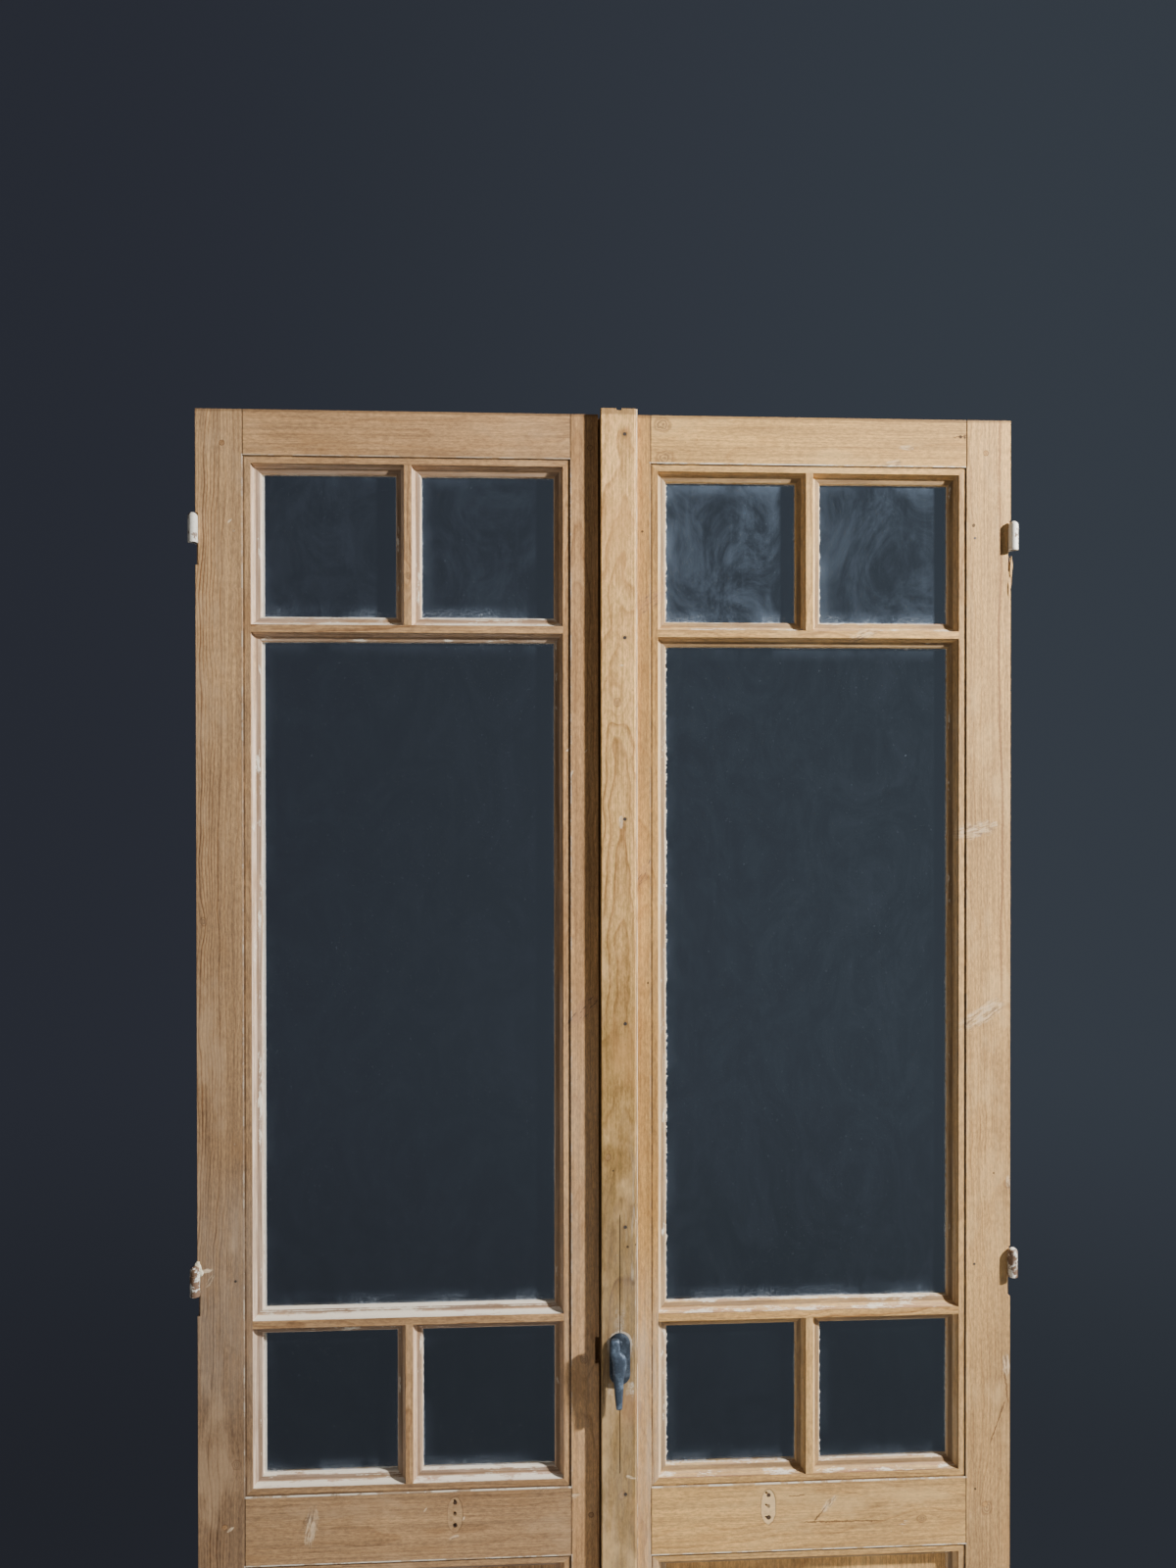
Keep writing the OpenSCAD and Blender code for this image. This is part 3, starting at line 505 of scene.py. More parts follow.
def pine(name, tone, upright, centre, seed, pith, gap, lean, knots=(), paint=1.0, foot_shade=0.9, show=(1.1,),
         tint=(1.0, 1.0, 1.0), marks=(), extra=None, face=FACE_Y, seams=(), fields=(), reach=(0.5, 2.3), blue=0.85):
    """Bare old pine with its own rings. knots are (across, along, size) in the board. show is how strongly the
    rings show, and where across they fade. foot_shade is how dark the board is painted towards its foot, a
    painted shade for the key light falling off downwards; reach gives the heights between which it does, and blue
    how far its blue follows. fields are the outlines that hold paint, and dirt with painted shade in their
    corners. extra adds the marks of one board."""
    material, shader = new_material(name)
    early, late, dark = (toned(shade, *tint) for shade in PINE_TONES[tone])
    row_place = here()
    place = board_place(row_place, upright, centre)
    push, core, rim = knot_masks(place, knots, seed)
    grain = use(board_grain, {"Place": place, "Pith Across": pith[0], "Pith Depth": pith[1], "Ring Gap": gap,
                              "Lean": lean, "Seed": seed, "Knots": push})
    wear = use(grime, {"Place": place, "Seed": seed})
    shown = show[0]
    if len(show) > 1:
        shown = step(split(place)[0], *show[1:], (0.30 * show[0], show[0]))
    colour = mix(grain["Ring"] * shown, early, late)
    _, y, z = split(row_place)
    shade = step(grain["Fibre"], 0.36, 0.63, (0.74, 1.18)) * step(grain["Patch"], 0.30, 0.70, (0.80, 1.15))
    # the last factor is painted shade: darker towards the foot, for the key light falling off downwards
    shade = shade * step(wear["Mottle"], 0.34, 0.66, (0.74, 1.19)) * step(z, *reach, (foot_shade, 1.0))
    colour = mix(1.0, colour, put("CombineColor", {0: shade, 1: shade, 2: shade ** blue}), "MULTIPLY")
    zones = cloud(vector_calc("ADD", drawn(place, 0.45), (seed, 0.0, 3.0)), 11.0, 5.0, 0.66)
    top_edge = step(z + zones * (6 * MM), LEAF_TOP - 3 * MM, LEAF_TOP + 1 * MM)
    colour = laid_over(colour,
                       (step(zones, 0.52, 0.68), 0.38, toned(early, 1.18, 1.30, 1.55)),
                       (step(zones, 0.46, 0.32), 0.42, toned(early, 0.66, 0.58, 0.50)),
                       (wear["Scuffs"], 0.16, toned(late, 0.62)),
                       (top_edge, 0.55, toned(DIRT_AND_SHADE_BROWN, 1.5)),
                       (wear["Spots"], 0.40, dark))
    if knots:
        heart = tuple(0.20 * a + 0.34 * b + 0.03 for a, b in zip(early, late))
        colour = laid_over(colour, (core, 0.88, heart), (rim, 0.42, dark))
    colour = board_marks(row_place, colour, dark, marks, face)

    depth = y - face
    lines = [use(quirk_line, {"Place": row_place, "Centre": middle_of, "Half Width": half_width,
                              "Half Height": half_height, "Depth": depth, "Top": top, "Upright": sides,
                              "Seed": seed * 0.61})
             for middle_of, half_width, half_height, top, sides in fields]
    if lines:
        paint = larger(lines[0]["Inside"], lines[-1]["Inside"]) * paint
    white = use(old_paint, {"Place": place, "Depth": depth, "Up": split(here("Normal"))[2], "Amount": paint,
                            "Seed": seed * 0.37})
    mask, dirt_and_shade = white["Mask"] * 0.85, seam_dirt(row_place, seams, seed) if seams else 0.0
    for line in lines:
        dirt_and_shade = larger(dirt_and_shade, line["Dirt And Shade"])
        mask = larger(mask, line["Paint"] * 0.9)
    # the moulding's step lines are painted shade, the quirk corners dirt and painted shade, the seam lines dirt
    colour = laid_over(colour,
                       (white["Wash"], 0.85, WASH[tone]),
                       (white["Line"], 0.74, toned(DIRT_AND_SHADE_BROWN, 1.6)),
                       (white["Stain"], 0.72, (0.33, 0.160, 0.095)),
                       (dirt_and_shade, 0.80, DIRT_AND_SHADE_BROWN))
    colour = mix(mask, colour, PAINT_WHITE)
    height = grain["Height"] + wear["Height"] * 1.4 + mask * 0.6 + dirt_and_shade * -1.5
    if extra:
        colour, height = extra(row_place, colour, height)
    rough = step(grain["Fibre"], 0.2, 0.8, (0.60, 0.80))
    feed(shader, Base_Color=colour, Roughness=rough, Specular_IOR_Level=0.25,
         Normal=relief(0.45, 0.4 * MM, height, arris=1.3 * MM))
    return material


def finish_node(node, material):
    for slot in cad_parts[node].material_slots:
        slot.material = material


# ---- marks on single boards ----


CATCH_HALF = (12 * MM, 28 * MM)              # half the catch's width and height
CATCH_HOLES = ((19, 4.0, 0.95), (1, 3.4, 0.70), (-17, 4.4, 0.95))       # rise and size in mm, strength
PLATE_HALF, PLATE_RADIUS = 24 * MM, 17.5 * MM
NAIL_X = middle("strip_nails").x
NAIL_HEIGHTS = (0.040, 0.340, 0.635, 1.060, 1.383, 1.707, 1.994, 2.315)


def catch_mark(centre, fresh):
    """The pale outline an old catch left on a middle rail, with its three screw holes."""
    def marks(place, colour, height):
        x, y, z = offsets(place, centre)
        x_share, z_share = x * (1 / CATCH_HALF[0]), z * (1 / CATCH_HALF[1])
        share = calc("SQRT", x_share * x_share + abs(z_share) ** 2.6)
        ragged = share + (cloud(place, 190.0) - 0.5) * 0.22
        front = step_mm(y, 3, 1)
        inside = step(ragged, 1.02, 0.94) * front
        edge = band(ragged, 0.90, 1.0, 1.04, 1.12) * front
        worn = inside * step(cloud(place, 70.0, 3.0), 0.52, 0.62)
        colour = laid_over(colour,
                           (inside, fresh, (0.84, 0.62, 0.36)),
                           (edge, 0.42, (0.16, 0.09, 0.05)),
                           (worn, 0.45 - 0.4 * fresh, (0.22, 0.12, 0.06)))
        for rise, size, strength in CATCH_HOLES:
            away = vector_calc("DISTANCE", place, centre + Vector((0.0, 0.0, rise * MM)))
            away = away + (cloud(place, 260.0) - 0.5) * (2.4 * MM)
            hole = step(away, size * MM, size * MM * 0.7)
            colour = laid_over(colour, (hole, strength, (0.040, 0.022, 0.016)))
        return colour, height + inside * -2.0
    return marks


def strip_marks(place, colour, height):
    """Paint left around the backplate, a painted shadow of the backplate on the strip round it, paint flecks and a
    painted highlight on the right arris, rust around the nails, dirt below the handle.
    """
    row_x, row_y, row_z = split(place)
    x, _, z = offsets(place, SPINDLE)
    from_plate = length(x, larger(abs(z) - PLATE_HALF, 0.0)) - PLATE_RADIUS
    broken = from_plate + (cloud(place, 150.0, 4.0) - 0.5) * (9 * MM)
    rim = step_mm(broken, 3.2, 1.0) * (step_mm(z, -5, 30) * 0.9)
    streaks = step(cloud(drawn(place, 0.12), 130.0, 3.0), 0.54, 0.66)
    above = step_mm(abs(x), 13, 1) * band_mm(z, 28, 36, 46, 92)
    below = band_mm(z, -72, -50, -42, -36)
    left_run = below * step_mm(abs(x + 15 * MM), 5, 2)
    right_run = below * step_mm(abs(x - 16 * MM), 9, 4)
    patchy = step(cloud(place, 120.0, 5.0, 0.7), 0.40, 0.60)
    run = (above + (left_run + right_run)) * (patchy * (streaks * 0.5 + 0.25))
    wide_haze = band(row_z, 0.80, 0.95, 1.02, 1.25) * step_mm(row_x, 16, 38)
    brown = band_mm(z, -125, -80, -62, -48) * step_mm(x, -2, 6)
    edge = high("cover_strip").x
    # a pale line on the right arris: paint flecks and a painted highlight
    paint_flecks_and_highlight = step(cloud(drawn(place, 0.35), 40.0, 5.0, 0.7), 0.38, 0.56, (0.06, 0.75))
    arris = step(row_x, edge - 1.9 * MM, edge - 1.1 * MM) * paint_flecks_and_highlight
    arris = arris * step(row_y, STRIP_Y + 6 * MM, STRIP_Y + 3 * MM)
    colour = laid_over(colour, (wide_haze * streaks, 0.30, PAINT_WHITE))
    colour = mix(smaller(run, 0.75), colour, PAINT_WHITE)
    # the last layer is a painted shadow of the backplate on the strip, all round it
    colour = laid_over(colour,
                       (brown, 0.35, (0.36, 0.16, 0.065)),
                       (rim, 0.75, PAINT_WHITE),
                       (step_mm(from_plate, 14, -2), 0.35, (0.22, 0.15, 0.09)))
    colour = mix(arris, colour, (0.84, 0.72, 0.56))
    for rise in NAIL_HEIGHTS:
        from_nail = vector_calc("DISTANCE", place, (NAIL_X, STRIP_Y, rise))
        colour = laid_over(colour, (step_mm(from_nail, 7, 2.2), 0.32, (0.14, 0.08, 0.05)))
    return colour, height + rim * 2.0


PEG_RADIUS = 4.5 * MM
MID_PEG_RISE = 90 * MM                       # of the middle pegs, over their rail's lower edge


def nearest(value, places):
    """Distance from value to the nearest of the places."""
    best = abs(value - places[0])
    for place in places[1:]:
        best = smaller(best, abs(value - place))
    return best


def peg_wood(side):
    """End grain of the pegs, with a dark line at the rim."""
    material, shader = new_material(side + "_peg_wood")
    place = here()
    x, _, z = split(place)
    lowest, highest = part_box(side + "_pegs")
    columns = (lowest.x + PEG_RADIUS, highest.x - PEG_RADIUS)
    rows = (lowest.z + PEG_RADIUS, low(side + "_mid_rail").z + MID_PEG_RISE, highest.z - PEG_RADIUS)
    rim = step_mm(length(nearest(x, columns), nearest(z, rows)), 3.4, 4.4)
    early, late, dark = PINE_TONES[side]
    speck = cloud(place, 900.0, 3.0)
    colour = mix(step(speck, 0.3, 0.7), toned(early, 0.86), late)
    feed(shader, Base_Color=laid_over(colour, (rim, 0.8, dark)), Roughness=0.8,
         Normal=relief(0.4, 0.3 * MM, speck - rim))
    return material


# ---- glass, dust and putty ----


def old_glass():
    """Thin drawn glass: clear, faintly green, with slow waves."""
    material, shader = new_material("old_glass")
    place = here()
    waves = relief(0.25, 2 * MM, cloud(drawn(place, 0.35), 9.0, 2.0))
    smear = step(cloud(place, 26.0, 4.0, 0.6), 0.35, 0.8, (0.02, 0.10))
    feed(shader, Base_Color=(0.90, 0.95, 0.94, 1.0), Roughness=smear, Transmission_Weight=1.0, IOR=1.46,
         Normal=waves)
    return material


@shared_effect(("Place>", "Inward", "Aside", "Rise", "Line", "Ragged", "Haze", "Edge", "Seed"), ("Cover", "Pale"))
def pane_dust(place, inward, aside, rise, line, ragged, haze, edge, seed):
    """How much dust and smeared dirt lies on a pane. Inward is the distance from its nearest edge, Aside from its
    left one and Rise from its foot; Line is the width of the paint dragged onto its left edge."""
    place = moved(place, seed)
    wiped = cloud(drawn(place, 0.6), 10.0, 8.0, 0.74, 2.2)
    streaks = cloud(drawn(place, 0.10), 90.0, 4.0, 0.6)
    film = haze * (step(wiped, 0.36, 0.72, (0.15, 2.1)) + step(streaks, 0.5, 0.8) * 0.7)
    uneven = inward + (cloud(place, 300.0, 5.0, 0.75) - 0.5) * (14 * MM)
    patchy = step(cloud(place, 14.0, 3.0), 0.35, 0.62)
    low_down = step_mm(rise, 34, 0) * (edge * 0.014)
    soft = step_mm(inward, 26, 0) * patchy * (haze * 1.5 + 0.012) + low_down * step(wiped, 0.35, 0.6)
    specks = step(cloud(place, 420.0, 2.0, 0.5), 0.735, 0.78) * 0.22
    hair = step(abs(cloud(place, 95.0, 3.0, 0.55, 2.5) - 0.5), 0.012, 0.003) * step_mm(rise, 22, 2) * 0.45
    rim = larger(step_mm(uneven, 2.5, -1.5) * patchy * edge, hair * patchy)
    drag = aside + (cloud(place, 170.0, 4.0) - 0.5) * ragged - line
    solid = larger(step_mm(drag, 0.4, -0.4) * 0.92, larger(rim, specks))
    return calc("ADD", film + soft, solid, clamp=True), solid


def dust_film(name, lowest, highest, haze, edge, line, seed):
    """Dust on a pane, as a see-through skin whose cover changes over it."""
    material, shader = new_material(name)
    place = here()
    x, _, z = split(place)
    inward = smaller(smaller(x - lowest.x, highest.x - x), smaller(z - lowest.z, highest.z - z))
    dust = use(pane_dust, {"Place": place, "Inward": inward, "Aside": x - lowest.x, "Rise": z - lowest.z,
                           "Line": line[0], "Ragged": line[1], "Haze": haze, "Edge": edge, "Seed": seed})
    colour = mix(dust["Pale"], (0.35, 0.48, 0.69), (0.66, 0.64, 0.58))
    feed(shader, Base_Color=colour, Alpha=dust["Cover"], Roughness=0.9, Specular_IOR_Level=0.1)
    return material


def putty_material():
    material, shader = new_material("hard_putty")
    place = here()
    patch = cloud(place, 22.0, 5.0, 0.65)
    colour = mix(step(patch, 0.35, 0.7), (0.60, 0.57, 0.50), (0.36, 0.33, 0.28))
    line = step(put("TexVoronoi", {"Vector": place, "Scale": 70.0}, feature="DISTANCE_TO_EDGE"), 0.04, 0.0)
    feed(shader, Base_Color=laid_over(colour, (line, 0.5, (0.12, 0.10, 0.08))), Roughness=0.85,
         Normal=relief(0.5, 0.6 * MM, patch - line))
    return material


# ---- metal ----


DARK_STEEL = (0.10, 0.08, 0.07), (0.20, 0.17, 0.15)      # of nails and pins: the ground and the rubbed places


def worn_iron(name, base, rubbed, metallic, roughness, bump_depth=0.5 * MM):
    material, shader = new_material(name)
    wear = use(worn_metal, {"Place": here(), "Scale": 1.0})
    colour = laid_over(mix(wear["Rubbed"] * 0.8, base, rubbed), (wear["Dull"], 0.35, toned(base, 0.45)))
    rough = step(wear["Rubbed"], 0.0, 1.0, (roughness, roughness - 0.16))
    feed(shader, Base_Color=colour, Roughness=rough, Metallic=metallic,
         Normal=relief(0.6, bump_depth, wear["Height"], arris=0.6 * MM))
    return material


def pin_steel():
    """Blade pins: dark steel, but the left leaf's upper one is filled and pale."""
    material = worn_iron("pin_steel", *DARK_STEEL, 0.3, 0.6)
    shader = material.node_tree.nodes["Principled BSDF"]
    x, _, z = split(here())
    filled = step(z, 2.05, 2.06) * step(x, 0.01, -0.01)
    steel = Wire(shader.inputs["Base Color"].links[0].from_socket)
    feed(shader, Base_Color=mix(filled, steel, (0.60, 0.42, 0.26)))
    return material


def painted_iron(name, cover, bright=1.0):
    """Iron under thick old white paint that has worn through in places."""
    material, shader = new_material(name)
    place = here()
    wear = use(worn_metal, {"Place": place, "Scale": 1.2})
    chips = step(cloud(place, 95.0, 5.0, 0.65), cover, cover + 0.06)
    paint = mix(wear["Rubbed"], toned((0.74, 0.74, 0.70), bright), (0.50, 0.48, 0.44))
    feed(shader, Base_Color=mix(chips, paint, (0.17, 0.105, 0.070)), Roughness=0.6,
         Normal=relief(0.7, 0.5 * MM, wear["Height"] * 0.7 + chips * -0.9))
    return material


# ---- small modelled pieces ----


def new_piece(name, mesh, body, material, smooth=True):
    piece = bpy.data.objects.new(name, mesh)
    bpy.context.scene.collection.objects.link(piece)
    mesh.materials.append(material)
    for face in mesh.polygons:
        face.use_smooth = smooth
    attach(piece, body)
    return piece


def mesh_of(bm, name):
    bmesh.ops.recalc_face_normals(bm, faces=bm.faces)
    mesh = bpy.data.meshes.new(name)
    bm.to_mesh(mesh)
    bm.free()
    return mesh


def add_box(bm, lowest, highest):
    made = bmesh.ops.create_cube(bm, size=1.0)["verts"]
    for vertex in made:
        for axis in range(3):
            vertex.co[axis] = lowest[axis] if vertex.co[axis] < 0 else highest[axis]


GLASS_REBATE = 7.5 * MM                      # how far a pane lies behind the mouldings
DUST_BACK, DUST_FRONT = 0.05 * MM, 0.25 * MM
DUST_HAZE = {"left": (0.006, 0.007, 0.002, 0.001, 0.001), "right": (0.017, 0.027, 0.0035, 0.001, 0.002)}
DUST_EDGE = {"left": 0.55, "right": 0.85}
DRAGGED_PAINT = {                            # width at a pane's left edge, raggedness; on outer and inner panes
    "left": ((3.4 * MM, 0.8 * MM), (0.6 * MM, 3 * MM)),
    "right": ((1.2 * MM, 12 * MM), (1.2 * MM, 12 * MM)),
}


def make_dust_films():
    """One thin closed skin of dust on the front of each pane."""
    for s, side in enumerate(SIDES):
        for index, pane in enumerate(PANES):
            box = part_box(f"{side}_{pane}")
            lowest = Vector((box[0].x + GLASS_REBATE, box[0].y - DUST_FRONT, box[0].z + GLASS_REBATE))
            highest = Vector((box[1].x - GLASS_REBATE, box[0].y - DUST_BACK, box[1].z - GLASS_REBATE))
            bm = bmesh.new()
            add_box(bm, lowest, highest)
            name = f"{side}_dust_{pane.removeprefix('pane_')}"
            film = dust_film(name, lowest, highest, DUST_HAZE[side][index], DUST_EDGE[side],
                             DRAGGED_PAINT[side][pane.endswith("inner")], seed=index + 5.0 * s)
            new_piece(name, mesh_of(bm, name), side + "_leaf", film, smooth=False)


LEVER_SECTIONS = (                           # rise over the spindle, left and right edge in mm, share of thickness
    (38.0, -14.0, -4.0, 0.55), (37.2, -15.8, -2.2, 0.74), (34.0, -16.9, -1.2, 0.82), (26.0, -17.0, -0.8, 0.84),
    (19.0, -17.0, -0.6, 0.86), (16.0, -16.8, 2.5, 0.90), (13.0, -16.4, 6.4, 0.94), (8.0, -14.2, 9.2, 0.99),
    (3.0, -13.1, 9.9, 1.00), (-3.0, -12.8, 9.6, 1.00), (-10.0, -12.5, 8.4, 0.98), (-18.0, -12.0, 6.5, 0.94),
    (-26.0, -11.3, 4.8, 0.88), (-38.0, -10.2, 4.4, 0.82), (-52.0, -9.0, 3.7, 0.77), (-64.0, -8.0, 3.1, 0.74),
    (-70.5, -7.3, 2.6, 0.70), (-72.6, -6.6, 1.9, 0.58), (-73.0, -5.0, 0.4, 0.35))
LEVER_POINTS = 24                            # round each section
LEVER_THICK = 12 * MM
NECK_RADIUS, NECK_LENGTH = 8.9 * MM, 24 * MM
SPINDLE_HALF = 4 * MM                        # half the square's side
SPINDLE_START = 33 * MM                      # behind the lever's front


def lever_section(bm, front, rise, left, right, thick):
    """One rounded, slightly dented section of the lever."""
    centre, reach = (left + right) / 2 * MM, (right - left) / 2 * MM
    points = []
    for k in range(LEVER_POINTS):
        angle = 2 * math.pi * k / LEVER_POINTS
        c, s = math.cos(angle), math.sin(angle)
        x = SPINDLE.x + centre + reach * math.copysign(abs(c) ** 0.7, c)
        y = front + LEVER_THICK - LEVER_THICK * thick / 2 * (1 - math.copysign(abs(s) ** 0.75, s))
        z = SPINDLE.z + rise * MM
        dent = noise.noise(Vector((x, y, z)) * 170) * 0.4 * MM
        points.append(bm.verts.new((x - dent * c, min(max(y - dent * s, front), front + LEVER_THICK), z)))
    return points


def make_forged_lever(material):
    """The lever as one forging: a loft of rounded sections, with its neck and its square spindle."""
    front, back = low("lever_handle").y, high("lever_handle").y
    bm = bmesh.new()
    rows = [lever_section(bm, front, *section) for section in LEVER_SECTIONS]
    for above, under in zip(rows, rows[1:]):
        for k in range(LEVER_POINTS):
            n = (k + 1) % LEVER_POINTS
            bm.faces.new((above[k], above[n], under[n], under[k]))
    bm.faces.new(rows[0])
    bm.faces.new(rows[-1][::-1])
    neck = bmesh.ops.create_cone(bm, cap_ends=True, segments=40, radius1=NECK_RADIUS, radius2=NECK_RADIUS,
                                 depth=NECK_LENGTH)["verts"]
    bmesh.ops.rotate(bm, verts=neck, cent=(0, 0, 0), matrix=Matrix.Rotation(math.pi / 2, 3, "X"))
    bmesh.ops.translate(bm, verts=neck, vec=(SPINDLE.x, front + LEVER_THICK + 10 * MM, SPINDLE.z))
    add_box(bm, (SPINDLE.x - SPINDLE_HALF, front + SPINDLE_START, SPINDLE.z - SPINDLE_HALF),
            (SPINDLE.x + SPINDLE_HALF, back, SPINDLE.z + SPINDLE_HALF))
    lever = new_piece("forged_lever", mesh_of(bm, "forged_lever"), "handle", material)
    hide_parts("lever_handle")


def lump(bm, centre, size, seed, rough=0.35):
    """A closed uneven blob."""
    made = bmesh.ops.create_icosphere(bm, subdivisions=3, radius=1.0)["verts"]
    for vertex in made:
        swell = 1 + rough * noise.noise(vertex.co * 1.7 + Vector((seed, 0, 0)))
        vertex.co = Vector(centre) + Vector([vertex.co[i] * swell * size[i] for i in range(3)])


PAINT_LUMPS = (                              # in mm from the stile's edge and the hinge's top, half width and height
    (0.5, -2, 4.5, 8), (3.5, -9, 3.6, 9), (1.0, -19, 2.6, 10), (0.2, -31, 1.8, 9), (6.5, -12, 2.6, 4.5))


def make_paint_blobs():
    """Thick cream paint caught on the left leaf's middle hinge."""
    material, shader = new_material("cream_paint")
    patch = cloud(here(), 160.0, 3.0)
    colour = mix(step(patch, 0.4, 0.7), (0.78, 0.74, 0.58), (0.62, 0.57, 0.44))
    feed(shader, Base_Color=colour, Roughness=0.5, Normal=relief(0.6, 0.6 * MM, patch))
    top = high("left_hinge_middle").z
    edge = low("left_hinge_stile").x
    bm = bmesh.new()
    for index, (dx, dz, rx, rz) in enumerate(PAINT_LUMPS):
        lump(bm, (edge + dx * MM, FACE_Y - 0.6 * MM, top + dz * MM), (rx * MM, 2.2 * MM, rz * MM), index * 3.1)
    new_piece("hinge_paint_blob", mesh_of(bm, "hinge_paint_blob"), "left_leaf", material)


SPLINTERS = 16
CORNERS = ((-1, -1), (1, -1), (0, 1))        # of a splinter's three-sided section


def make_splinters(material):
    """Torn slivers of wood standing at the right leaf's edge below its upper hinge."""
    rng = random.Random(11)
    edge = high("right_hinge_stile").x
    top = low("right_hinge_upper").z - 2 * MM
    bm = bmesh.new()
    for _ in range(SPLINTERS):
        z = top - rng.uniform(0, 62) * MM
        long = rng.uniform(16, 40) * MM
        x = edge + rng.uniform(-3.5, 1.6) * MM
        y = FACE_Y + rng.uniform(0.5, 9.0) * MM
        half = rng.uniform(0.7, 1.6) * MM
        lean = rng.uniform(-1.0, 2.2) * MM
        foot = [bm.verts.new((x + dx * half, y + dy * half, z - long)) for dx, dy in CORNERS]
        waist = [bm.verts.new((x + lean * 0.4 + dx * half * 1.3, y + dy * half * 1.3, z - long * 0.45))
                 for dx, dy in CORNERS]
        tip = bm.verts.new((x + lean, y, z))
        bm.faces.new(foot[::-1])
        for k in range(3):
            n = (k + 1) % 3
            bm.faces.new((foot[k], foot[n], waist[n], waist[k]))
            bm.faces.new((waist[k], waist[n], tip))
    mesh = mesh_of(bm, "torn_splinters")
    new_piece("torn_splinters", mesh, "right_leaf", material, smooth=False)


# ---- finishes on the frame ----

SHOW = {                                     # how strongly the rings show, and where across they fade
    "left_hinge_stile": (2.8, -0.002, -0.026), "right_hinge_stile": (0.9,), "top_rail": (0.55,),
    "mid_rail": (0.75,), "bottom_rail": (0.75,), "upper_cross_bar": (1.6,), "lower_cross_bar": (1.6,),
}
BOARDS = {                                   # upright?, ring gap in mm, lean, pith across and deep, paint (a pale wash, set higher where the moulding faces the key: partly painted highlight), foot tone (painted shade at the foot)
    "hinge_stile": (True, 4.3, 0.014, (0.034, 0.030), 1.00, 0.56),
    "meeting_stile": (True, 3.6, 0.022, (-0.004, 0.046), 0.60, 1.00),
    "top_rail": (False, 4.4, 0.012, (0.015, 0.075), 0.60, 1.00),
    "mid_rail": (False, 5.4, 0.020, (-0.012, 0.060), 0.80, 0.87),
    "bottom_rail": (False, 6.0, 0.020, (0.030, 0.080), 0.80, 0.93),
    "upper_cross_bar": (False, 3.6, 0.016, (0.020, 0.070), 0.80, 0.93),
    "lower_cross_bar": (False, 3.6, 0.016, (-0.025, 0.080), 0.90, 0.93),
    "upper_upright_bar": (True, 3.6, 0.016, (0.022, 0.070), 0.80, 0.93),
    "lower_upright_bar": (True, 3.6, 0.016, (-0.022, 0.075), 0.80, 0.88),
    "panel": (True, 6.2, 0.030, (0.040, 0.110), 0.00, 0.93),
}
KNOTS = {                                    # row-frame X and Z of each knot, and its radius
    "left_mid_rail": ((-0.480, 0.600, 0.006),),
    "right_top_rail": ((0.083, 2.336, 0.010), (0.087, 2.282, 0.011)),
    "left_meeting_stile": ((-0.043, 0.846, 0.006),),
    "left_hinge_stile": ((-0.639, 1.548, 0.0048), (-0.590, 0.694, 0.006)),
    "left_upper_upright_bar": ((-0.320, 2.092, 0.004),),
    "right_hinge_stile": ((0.612, 0.585, 0.008), (0.646, 1.112, 0.005)),
    "right_mid_rail": ((0.504, 0.571, 0.006),),
    "cover_strip": ((-0.006, 1.172, 0.004), (0.010, 1.892, 0.005), (0.016, 0.634, 0.005)),
}
